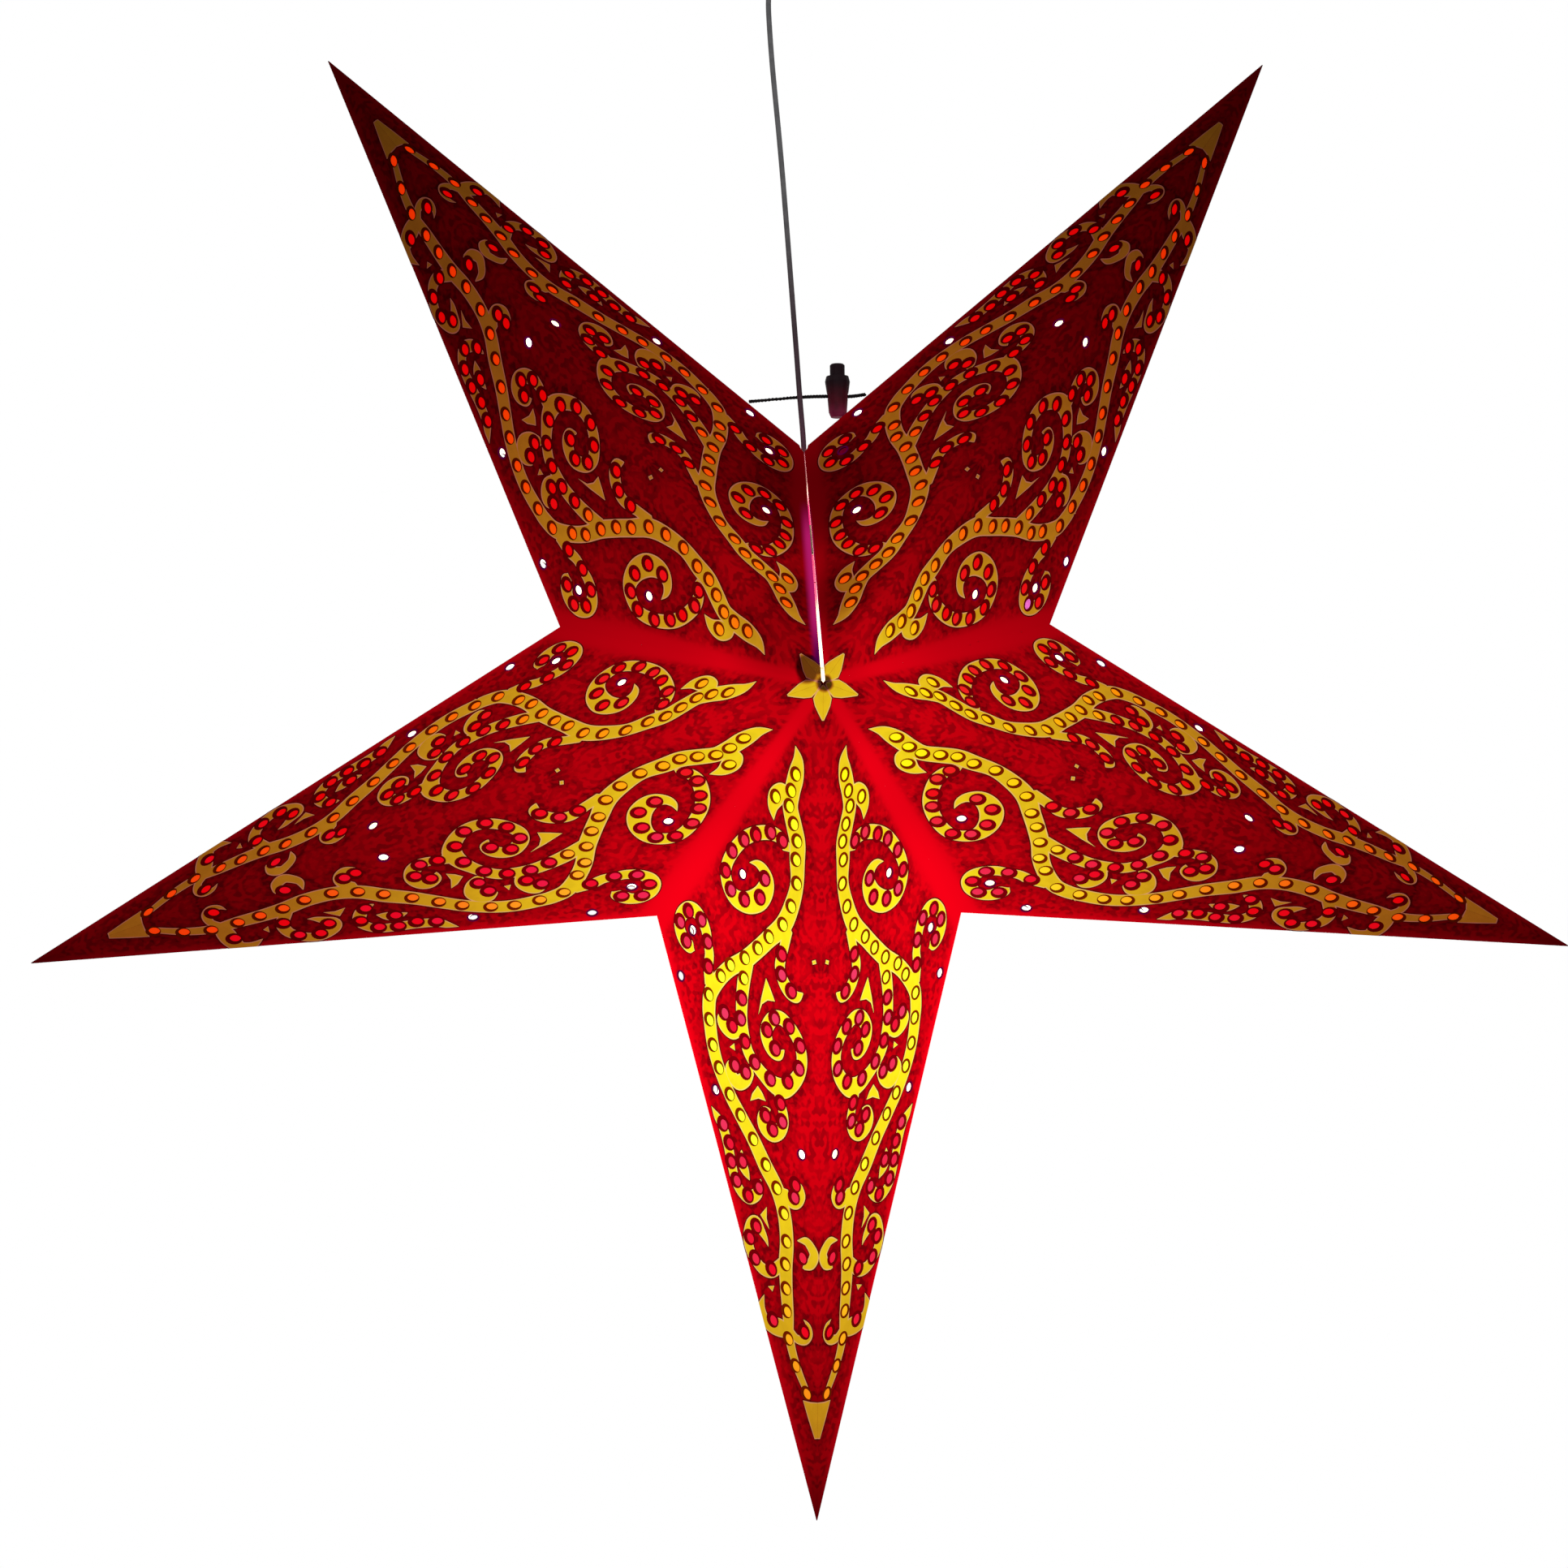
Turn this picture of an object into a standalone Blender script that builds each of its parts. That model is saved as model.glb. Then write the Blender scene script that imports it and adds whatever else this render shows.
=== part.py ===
"""Paper star lantern, in metres. +Z is up and the front faces -Y.

Ten half-arms of punched red card are joined at ridges, valleys and rims into a five-armed star.
Tissue lies behind the punched holes, a lamp hangs inside on a thin cord, and a tie string with
a spring toggle draws the seam in the top valley together.
The origin is where the hanging loop rests on its hook.
"""

import math

import bmesh
import bpy
from mathutils import Matrix, Vector

# The star. Corners alternate between valleys and tips, clockwise from the top valley.
ARMS = 5
TIP_RADIUS = 0.300
VALLEY_RADIUS = 0.096
HALF_DEPTH = 0.090
CARD = 0.0005
FOLD_GAP = 0.0003
SEAM_GAP = 0.0012
CENTRE_CUT = 0.0016
TIP_CUT = 0.0010
HANG_DROP = 0.300
HANG_LEAN = 0.0112

# The tissue behind the card.
TISSUE = 0.0002
TISSUE_STANDOFF = 0.0003
TISSUE_EDGE = 0.0025
TISSUE_CENTRE_CUT = 0.0100
TISSUE_TIP_CUT = 0.0150
CREASE_DEPTH = CARD + TISSUE_STANDOFF + TISSUE + 0.00005

# The punched holes, as pixels of the photo on the right half of the lowest arm.
APEX_PX = Vector((1005, 845))
TIP_PX = Vector((1005, 1888))
VALLEY_PX = Vector((1185, 1122))
VIEW_DISTANCE = 1.205
OPEN_PUNCH_PX = (
    (1158, 1199),
    (1119, 1344),
    (1146, 1143),
    (1092, 1078),
    (1025, 1433),
)
STEM_PUNCH_PX = (
    (1034, 959),
    (1033, 1066),
    (1062, 1160),
    (1126, 1257),
    (1103, 1352),
    (1063, 1443),
    (1041, 1568),
    (1037, 1660),
)
PUNCH_RADIUS = 0.00235
PUNCH_SIDES = 8
PUNCH_LENGTH = 0.0040

# The cord, from the contact block in the holder to the clip of its hanging loop.
CORD_RADIUS = 0.0010
CORD_STEP = 0.0050
CORD_ROUTE = (
    (0.0, 0.0, 0.0433),
    (0.0, 0.0, 0.0750),
    (0.0, 0.0, 0.0960),
    (-0.0013, 0.0, 0.1157),
    (-0.0026, 0.0004, 0.1370),
    (-0.0068, 0.0, 0.2000),
    (-0.0100, 0.0003, 0.2400),
    (-0.0112, 0.0, 0.2597),
)
CORD_CLEARANCE = 0.0003

# The loop at the top, of the same cord, and its clip.
CLIP_RADIUS = 0.0034
CLIP_LENGTH = 0.0120
CLIP_ROUND = 0.0008
CLIP_TOP = -0.0280
LOOP_ROUTE = (
    (0.0017, 0.0, -0.0277),
    (0.0020, 0.0, -0.0235),
    (0.0052, 0.0, -0.0150),
    (0.0062, 0.0, -0.0070),
    (0.0038, 0.0, -0.0010),
    (0.0, 0.0, 0.0010),
    (-0.0038, 0.0, -0.0010),
    (-0.0062, 0.0, -0.0070),
    (-0.0052, 0.0, -0.0150),
    (-0.0020, 0.0, -0.0235),
    (-0.0017, 0.0, -0.0277),
)
LOOP_STEP = 0.0040

# The tie string between the rims of the two upper arms, behind the cord. Heights are above its holes.
TIE_RADIUS = 0.0006
TIE_STEP = 0.0025
TIE_ALONG_RIM = 0.0308
TIE_STANDOFF = 0.0013
TIE_BEHIND_CORD = (-0.0013, 0.0026, 0.0)
TIE_IN_TOGGLE = (0.0132, 0.0040, 0.0006)
TIE_STRAIGHT = 0.0052

# The spring toggle on the tie string, as heights above the string and radii.
TOGGLE_SIDES = 16
BARREL_BOTTOM = -0.0080
BARREL_TOP = 0.0075
BARREL_BOTTOM_RADIUS = 0.0026
BARREL_LOW_RADIUS = 0.0034
BARREL_WAIST_RADIUS = 0.0039
BARREL_WIDE_RADIUS = 0.0047
BARREL_MOUTH_RADIUS = 0.0042
BARREL_LOW_HEIGHT = -0.0062
BARREL_WIDE_HEIGHT = 0.0055
BARREL_FLOOR = -0.0070
BARREL_BORE = 0.0031
STRING_HOLE = 0.0012
PLUNGER_RADIUS = 0.0028
PLUNGER_BOTTOM = -0.0030
PLUNGER_TOP = 0.0122
PLUNGER_ROUND = 0.0005
PLUNGER_TRAVEL = 0.0020
SPRING_WIRE = 0.00017
SPRING_RADIUS = 0.0021
SPRING_TURNS = 3
SPRING_STEPS = 12
SPRING_GAP = 0.0003

# The lamp, hanging cap up. Heights are above the centre of the star.
LAMP_SIDES = 24
GLOBE_RADIUS = 0.0200
GLOBE_CENTRE = -0.0140
GLOBE_WALL = 0.0010
GLOBE_MOUTH = 0.0130
GLOBE_STEPS = 8
SEAT_GAP = 0.0003
COLLAR_WALL = 0.0016
COLLAR_RIM_RADIUS = 0.0140
COLLAR_RIM = 0.0025
COLLAR_NECK_RADIUS = 0.0090
COLLAR_NECK = 0.0160
COLLAR_TOP = 0.0180
BOARD_RADIUS = 0.0120
BOARD_THICK = 0.0010
CAP_RADIUS = 0.0069
CAP_WALL = 0.0004
CAP_FOOT = 0.0160
CAP_TOP = 0.0340
CAP_THREADS = 4
CAP_THREAD_DEPTH = 0.0004
CAP_THREAD_PITCH = 0.0028
CAP_THREAD_START = 0.0195
CAP_HOLE = 0.0045
INSULATOR_RADIUS = 0.0042
INSULATOR_HOLE = 0.0022
INSULATOR_RISE = 0.0008
CONTACT_RADIUS = 0.0019
CONTACT_RISE = 0.0017

# The lamp holder.
SHELL_RADIUS = 0.0076
SHELL_WALL = 0.0004
SHELL_FOOT = 0.0195
SHELL_TOP = 0.0355
SHELL_FLANGE = 0.0105
LEAF_WIDTH = 0.0032
LEAF_LENGTH = 0.0060
LEAF_THICK = 0.0004
LEAF_DIP = 0.0006
BLOCK_RADIUS = 0.0112
BLOCK_FOOT = 0.0372
BLOCK_TOP = 0.0430
BLOCK_ROUND = 0.0005
BODY_FOOT = 0.0130
BODY_TOP = 0.0440
BODY_FOOT_RADIUS = 0.0125
BODY_RADIUS = 0.0132
BODY_WALL = 0.0015
BODY_LIP = 0.0020
HOOD_TOP = 0.0560
HOOD_RADIUS = 0.0132
HOOD_WALL = 0.0015
HOOD_SHOULDER_RADIUS = 0.0100
HOOD_HOLE = 0.0045
GRIP_FOOT = 0.0520
GRIP_NECK_RADIUS = 0.0042
GRIP_FLANGE = 0.0020
GRIP_FLANGE_RADIUS = 0.0060
GRIP_TOP = 0.0670
GRIP_TIP_RADIUS = 0.0028


def corner(k):
    """Corner k of the outline in the middle plane, seen from the front."""
    radius = TIP_RADIUS if k % 2 else VALLEY_RADIUS
    turn = math.pi * k / ARMS
    return Vector((radius * math.sin(turn), 0, radius * math.cos(turn)))


def clockwise(k):
    """The direction in which the outline runs past corner k, square to the line to the centre."""
    turn = math.pi * k / ARMS
    return Vector((math.cos(turn), 0, -math.sin(turn)))


def apex(side):
    return Vector((0, side * HALF_DEPTH, 0))


def outward(k, side):
    """The direction square to panel k, out of the star."""
    across = (corner(k) - apex(side)).cross(corner(k + 1) - apex(side)).normalized()
    return across if across.y * side > 0 else -across


def ridge_axis_point(k):
    """The end at the apex of the line that ridge k turns on, just inside the tissue."""
    along = (corner(k) - apex(-1)).normalized()
    inward = along.cross(clockwise(k)).normalized()
    if inward.y < 0:
        inward = -inward
    half_angle = math.pi / 2 - outward(k, -1).angle(clockwise(k))
    return apex(-1) + inward * (CREASE_DEPTH / math.cos(half_angle))


def tie_hole(mirror):
    """Where the tie string meets the rim of an upper arm: 1 right, -1 left."""
    along = (corner(1) - corner(0)).normalized()
    point = corner(0) + along * TIE_ALONG_RIM
    return Vector((mirror * point.x, 0, point.z))


def panel_frame(k, side):
    """Where panel k lies: X runs along the crease that it turns on and Z out of the star."""
    if side > 0:
        start = corner(k)
        along = corner(k + 1) - corner(k)
    elif k == 0:
        start = tie_hole(1)
        along = corner(0) - apex(side)
    else:
        start = ridge_axis_point(k) if k % 2 else apex(side)
        along = corner(k) - apex(side)
    up = outward(k, side)
    x_axis = along.normalized()
    y_axis = up.cross(x_axis)
    turn = Matrix((x_axis, y_axis, up)).transposed().to_4x4()
    return Matrix.Translation(start) @ turn


def edge_planes(k, side, fold, first, last, rim, centre_cut, tip_cut):
    """The planes that trim panel k, each as a point and the direction of what is cut away."""
    tip = corner(k if k % 2 else k + 1).normalized()
    return (
        (clockwise(k) * (first or fold), -clockwise(k)),
        (clockwise(k + 1) * -(last or fold), clockwise(k + 1)),
        (Vector((0, side * rim, 0)), Vector((0, -side, 0))),
        (Vector((0, side * (HALF_DEPTH - centre_cut), 0)), Vector((0, side, 0))),
        (tip * (TIP_RADIUS - tip_cut), tip),
    )


def sheet(name, k, side, depth, thickness, planes, material):
    """A flat sheet, its outer face at a depth below that of the panel, cut by the given planes."""
    frame = panel_frame(k, side)
    inverse = frame.inverted()
    level = (inverse @ apex(side)).z - depth
    middle = inverse @ ((apex(side) + corner(k) + corner(k + 1)) / len("FVT"))
    build = bmesh.new()
    bmesh.ops.create_cube(build, size=1)
    width = 2 * TIP_RADIUS
    bmesh.ops.scale(build, vec=(width, width, thickness), verts=build.verts)
    bmesh.ops.translate(build, vec=(middle.x, middle.y, level - thickness / 2), verts=build.verts)
    for point, normal in planes:
        parts = build.verts[:] + build.edges[:] + build.faces[:]
        cut = bmesh.ops.bisect_plane(
            build,
            geom=parts,
            plane_co=inverse @ point,
            plane_no=inverse.to_3x3() @ normal,
            clear_outer=True,
        )
        edges = [item for item in cut["geom_cut"] if isinstance(item, bmesh.types.BMEdge)]
        bmesh.ops.edgenet_fill(build, edges=edges)
    bmesh.ops.recalc_face_normals(build, faces=build.faces)
    return add_mesh(name, build, material, frame)


def panel_share(pixel):
    """A point of the photo on the lowest arm, as shares of the panel's apex, tip and valley corner."""
    across = VALLEY_PX - APEX_PX
    along = TIP_PX - APEX_PX
    offset = Vector(pixel) - APEX_PX
    area = along.cross(across)
    valley = along.cross(offset) / area
    tip = offset.cross(across) / area
    near = VIEW_DISTANCE - HALF_DEPTH
    weights = ((1 - tip - valley) / near, tip / VIEW_DISTANCE, valley / VIEW_DISTANCE)
    return [weight / sum(weights) for weight in weights]


def punch_cutter(name, k, side, pixels):
    """The punches for one panel, each a prism through the card at its place in the pattern."""
    frame = panel_frame(k, side)
    inverse = frame.inverted()
    tip = corner(k if k % 2 else k + 1)
    valley = corner(k + 1 if k % 2 else k)
    build = bmesh.new()
    for pixel in pixels:
        shares = panel_share(pixel)
        place = inverse @ (apex(side) * shares[0] + tip * shares[1] + valley * shares[2])
        bmesh.ops.create_cone(
            build,
            cap_ends=True,
            segments=PUNCH_SIDES,
            radius1=PUNCH_RADIUS,
            radius2=PUNCH_RADIUS,
            depth=PUNCH_LENGTH,
            matrix=Matrix.Translation(place),
        )
    return add_cutter(name, build, frame)


def add_mesh(name, build, material, frame=None, smooth=False):
    """The built mesh as an object of the lantern, hung from the star's centre."""
    mesh = bpy.data.meshes.new(name)
    build.to_mesh(mesh)
    build.free()
    for face in mesh.polygons:
        face.use_smooth = smooth
    return add_object(name, mesh, material, frame)


def add_object(name, data, material, frame=None):
    item = bpy.data.objects.new(name, data)
    lantern.objects.link(item)
    item.parent = star
    item.matrix_local = frame or Matrix()
    data.materials.append(material)
    return item


def add_cutter(name, build, frame):
    mesh = bpy.data.meshes.new(name)
    build.to_mesh(mesh)
    build.free()
    item = bpy.data.objects.new(name, mesh)
    cutters.objects.link(item)
    item.parent = star
    item.matrix_local = frame
    item.hide_render = True
    item.display_type = "WIRE"
    return item


def cut(item, cutter):
    removal = item.modifiers.new(cutter.name, "BOOLEAN")
    removal.operation = "DIFFERENCE"
    removal.solver = "EXACT"
    removal.object = cutter


def upright_cutter(name, place, radius, length, axis="Z"):
    """A round bar centred on a place, for holes that run along X or Z."""
    build = bmesh.new()
    turn = Matrix.Rotation(math.pi / 2, 4, "Y") if axis == "X" else Matrix()
    bmesh.ops.create_cone(
        build,
        cap_ends=True,
        segments=PUNCH_SIDES,
        radius1=radius,
        radius2=radius,
        depth=length,
        matrix=turn,
    )
    return add_cutter(name, build, Matrix.Translation(place))


def paint(name, colour, roughness, metallic=0.0):
    material = bpy.data.materials.new(name)
    material.use_nodes = True
    shader = material.node_tree.nodes["Principled BSDF"]
    shader.inputs["Base Color"].default_value = (*colour, 1)
    shader.inputs["Roughness"].default_value = roughness
    shader.inputs["Metallic"].default_value = metallic
    material.diffuse_color = (*colour, 1)
    return material


def turned(name, profile, material, place=Vector(), sides=LAMP_SIDES):
    """A round piece: a profile of radii and heights turned about its own upright axis."""
    build = bmesh.new()
    points = [build.verts.new((radius, 0, height)) for radius, height in profile]
    for start, end in zip(points, points[1:]):
        build.edges.new((start, end))
    if profile[0][0] > 0:
        build.edges.new((points[-1], points[0]))
    item = add_mesh(name, build, material, Matrix.Translation(place))
    screw = item.modifiers.new("turn", "SCREW")
    screw.steps = sides
    screw.render_steps = sides
    screw.use_merge_vertices = True
    screw.merge_threshold = 0.00001
    screw.use_smooth_shade = True
    return item


def arc(radius, centre, start, end, steps):
    """Points of a circle about the axis, by their angles below the horizontal."""
    angles = [start + (end - start) * step / steps for step in range(steps + 1)]
    return [(radius * math.cos(angle), centre - radius * math.sin(angle)) for angle in angles]


def smooth_route(route, step):
    """Evenly spaced points on a smooth curve through hand-placed ones."""
    points = [Vector(point) for point in route]
    padded = [2 * points[0] - points[1], *points, 2 * points[-1] - points[-2]]
    dense = []
    fine = 24
    for before, start, end, after in zip(padded, padded[1:], padded[2:], padded[3:]):
        for number in range(fine):
            t = number / fine
            pull = 2 * start + (end - before) * t
            pull += (2 * before - 5 * start + 4 * end - after) * t**2
            pull += (3 * start - before - 3 * end + after) * t**3
            dense.append(pull / 2)
    dense.append(points[-1])
    lengths = [0.0]
    for start, end in zip(dense, dense[1:]):
        lengths.append(lengths[-1] + (end - start).length)
    count = max(2, round(lengths[-1] / step))
    even = []
    place = 0
    for number in range(count + 1):
        target = lengths[-1] * number / count
        while place < len(dense) - 2 and lengths[place + 1] < target:
            place += 1
        span = lengths[place + 1] - lengths[place]
        share = min(1, (target - lengths[place]) / span)
        even.append(dense[place].lerp(dense[place + 1], share))
    return even


def tube(name, points, radius, material, frame=None):
    """A round cord along the points, its ends closed."""
    curve = bpy.data.curves.new(name, "CURVE")
    curve.dimensions = "3D"
    curve.bevel_depth = radius
    curve.bevel_resolution = 2
    curve.use_fill_caps = True
    spline = curve.splines.new("POLY")
    spline.points.add(len(points) - 1)
    for place, point in zip(spline.points, points):
        place.co = (*point, 1)
    return add_object(name, curve, material, frame)


def panel_name(k, side):
    """Arms are numbered clockwise from the upper right, and half a is the first one met."""
    face = "front" if side < 0 else "back"
    return f"arm{k // 2 + 1}_{face}_{'ab'[k % 2]}"


def add_panels(card_paint, tissue_paint):
    """The twenty card panels and the tissue behind each."""
    notch = upright_cutter("cord_notch", corner(0), CORD_RADIUS + 2 * CORD_CLEARANCE, HALF_DEPTH)
    half_gap = FOLD_GAP / 2
    half_seam = SEAM_GAP / 2
    for k in range(2 * ARMS):
        for side in (-1, 1):
            name = panel_name(k, side)
            first = half_seam if k == 0 else 0
            last = half_seam if k == 2 * ARMS - 1 else 0
            planes = edge_planes(k, side, half_gap, first, last, half_gap, CENTRE_CUT, TIP_CUT)
            card = sheet(name, k, side, 0, CARD, planes, card_paint)
            depth = CARD + TISSUE_STANDOFF
            edge = TISSUE_EDGE
            planes = edge_planes(k, side, edge, 0, 0, edge, TISSUE_CENTRE_CUT, TISSUE_TIP_CUT)
            tissue = sheet(f"{name}_tissue", k, side, depth, TISSUE, planes, tissue_paint)
            open_holes = punch_cutter(f"{name}_open_punch", k, side, OPEN_PUNCH_PX)
            cut(card, open_holes)
            cut(tissue, open_holes)
            cut(card, punch_cutter(f"{name}_stem_punch", k, side, STEM_PUNCH_PX))
            if first or last:
                cut(card, notch)


def add_cord(cord_paint, clip_paint):
    """The cord, its hanging loop and the clip between them."""
    tube("power_cord", smooth_route(CORD_ROUTE, CORD_STEP), CORD_RADIUS, cord_paint)
    hook = Vector((-HANG_LEAN, 0, HANG_DROP))
    loop = [hook + point for point in smooth_route(LOOP_ROUTE, LOOP_STEP)]
    tube("hanging_loop", loop, CORD_RADIUS, cord_paint)
    build = bmesh.new()
    bmesh.ops.create_cone(
        build,
        cap_ends=True,
        segments=LAMP_SIDES // 2,
        radius1=CLIP_RADIUS,
        radius2=CLIP_RADIUS,
        depth=CLIP_LENGTH,
    )
    ends = [edge for edge in build.edges if len({round(v.co.z, 6) for v in edge.verts}) == 1]
    bmesh.ops.bevel(build, geom=ends, offset=CLIP_ROUND, segments=2, affect="EDGES", profile=0.5)
    middle = hook + Vector((0, 0, CLIP_TOP - CLIP_LENGTH / 2))
    add_mesh("loop_clip", build, clip_paint, Matrix.Translation(middle), smooth=True)


def add_tie(string_paint, toggle_paint, plunger_paint, spring_paint):
    """The tie string and the spring toggle that it runs through."""
    along = (corner(1) - corner(0)).normalized()
    off_rim = Vector((-along.z, 0, along.x))
    right = tie_hole(1) + off_rim * TIE_STANDOFF
    left = Vector((-right.x, 0, right.z))
    level = Vector((0, 0, tie_hole(1).z))
    behind = level + Vector(TIE_BEHIND_CORD)
    middle = level + Vector(TIE_IN_TOGGLE)
    half = Vector((TIE_STRAIGHT, 0, 0))
    route = (left, behind, middle - half, middle, middle + half, right)
    tube("tie_string", smooth_route(route, TIE_STEP), TIE_RADIUS, string_paint)
    profile = (
        (0, BARREL_FLOOR),
        (BARREL_BORE, BARREL_FLOOR),
        (BARREL_BORE, BARREL_TOP),
        (BARREL_MOUTH_RADIUS, BARREL_TOP),
        (BARREL_WIDE_RADIUS, BARREL_WIDE_HEIGHT),
        (BARREL_WAIST_RADIUS, 0),
        (BARREL_LOW_RADIUS, BARREL_LOW_HEIGHT),
        (BARREL_BOTTOM_RADIUS, BARREL_BOTTOM),
        (0, BARREL_BOTTOM),
    )
    barrel = turned("toggle_barrel", profile, toggle_paint, middle, TOGGLE_SIDES)
    wide = 4 * BARREL_WIDE_RADIUS
    cut(barrel, upright_cutter("barrel_string_hole", middle, STRING_HOLE, wide, "X"))
    profile = (
        (0, PLUNGER_TOP),
        (PLUNGER_RADIUS - PLUNGER_ROUND, PLUNGER_TOP),
        (PLUNGER_RADIUS, PLUNGER_TOP - PLUNGER_ROUND),
        (PLUNGER_RADIUS, PLUNGER_BOTTOM),
        (0, PLUNGER_BOTTOM),
    )
    plunger = turned("toggle_plunger", profile, plunger_paint, middle, TOGGLE_SIDES)
    build = bmesh.new()
    bmesh.ops.create_cube(build, size=1)
    height = PLUNGER_TRAVEL + 2 * STRING_HOLE
    bmesh.ops.scale(build, vec=(wide, 2 * STRING_HOLE, height), verts=build.verts)
    slot_middle = middle + Vector((0, 0, PLUNGER_TRAVEL / 2))
    cut(plunger, add_cutter("plunger_slot", build, Matrix.Translation(slot_middle)))
    low = BARREL_FLOOR + SPRING_GAP + SPRING_WIRE
    rise = PLUNGER_BOTTOM - SPRING_GAP - SPRING_WIRE - low
    count = SPRING_TURNS * SPRING_STEPS
    coil = []
    for number in range(count + 1):
        turn = 2 * math.pi * number / SPRING_STEPS
        level = low + rise * number / count
        coil.append(
            Vector((SPRING_RADIUS * math.cos(turn), SPRING_RADIUS * math.sin(turn), level))
        )
    tube("toggle_spring", coil, SPRING_WIRE, spring_paint, Matrix.Translation(middle))


def add_lamp(globe_paint, collar_paint, board_paint, metal_paint, insulator_paint):
    """The lamp: a frosted globe on a collar, an LED board and a small screw cap."""
    mouth_angle = -math.acos(GLOBE_MOUTH / GLOBE_RADIUS)
    down = math.pi / 2
    inner = arc(GLOBE_RADIUS - GLOBE_WALL, GLOBE_CENTRE, down, mouth_angle, GLOBE_STEPS)
    outer = arc(GLOBE_RADIUS, GLOBE_CENTRE, mouth_angle, down, GLOBE_STEPS)
    inner[0] = (0, inner[0][1])
    outer[-1] = (0, outer[-1][1])
    turned("bulb_globe", inner + outer, globe_paint)
    rim = outer[0][1] + SEAT_GAP
    shelf = rim + BOARD_THICK + SEAT_GAP
    shelf_radius = BOARD_RADIUS - COLLAR_WALL
    bore = CAP_RADIUS + SEAT_GAP
    profile = (
        (COLLAR_NECK_RADIUS, COLLAR_TOP),
        (COLLAR_NECK_RADIUS, COLLAR_NECK),
        (COLLAR_RIM_RADIUS, rim + COLLAR_RIM),
        (COLLAR_RIM_RADIUS, rim),
        (BOARD_RADIUS + SEAT_GAP, rim),
        (BOARD_RADIUS + SEAT_GAP, shelf),
        (shelf_radius, shelf),
        (bore, COLLAR_NECK - COLLAR_WALL),
        (bore, COLLAR_TOP),
    )
    turned("bulb_collar", profile, collar_paint)
    board = (
        (0, rim + BOARD_THICK),
        (BOARD_RADIUS, rim + BOARD_THICK),
        (BOARD_RADIUS, rim),
        (0, rim),
    )
    turned("led_board", board, board_paint)
    outer = [(CAP_HOLE, CAP_TOP), (CAP_RADIUS - CAP_WALL, CAP_TOP)]
    for thread in reversed(range(CAP_THREADS)):
        middle = CAP_THREAD_START + CAP_THREAD_PITCH * (thread + 1)
        outer.append((CAP_RADIUS - CAP_THREAD_DEPTH, middle + CAP_THREAD_PITCH / 2))
        outer.append((CAP_RADIUS, middle))
    outer.append((CAP_RADIUS - CAP_THREAD_DEPTH, CAP_THREAD_START + CAP_THREAD_PITCH / 2))
    outer.append((CAP_RADIUS, CAP_THREAD_START))
    outer.append((CAP_RADIUS, CAP_FOOT))
    bore = CAP_RADIUS - CAP_THREAD_DEPTH - CAP_WALL
    inner = [(bore, CAP_FOOT), (bore, CAP_TOP - CAP_WALL), (CAP_HOLE, CAP_TOP - CAP_WALL)]
    turned("bulb_cap", outer + inner, metal_paint)
    low = CAP_TOP - CAP_WALL
    ring = (
        (INSULATOR_HOLE, CAP_TOP + INSULATOR_RISE),
        (INSULATOR_RADIUS - INSULATOR_RISE, CAP_TOP + INSULATOR_RISE),
        (INSULATOR_RADIUS, CAP_TOP),
        (INSULATOR_RADIUS, low),
        (INSULATOR_HOLE, low),
    )
    turned("bulb_insulator", ring, insulator_paint, sides=LAMP_SIDES // 2)
    rivet = (
        (0, CAP_TOP + CONTACT_RISE),
        (CONTACT_RADIUS, CAP_TOP + INSULATOR_RISE),
        (CONTACT_RADIUS, low),
        (0, low),
    )
    turned("bulb_contact", rivet, metal_paint, sides=LAMP_SIDES // 2)


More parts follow.
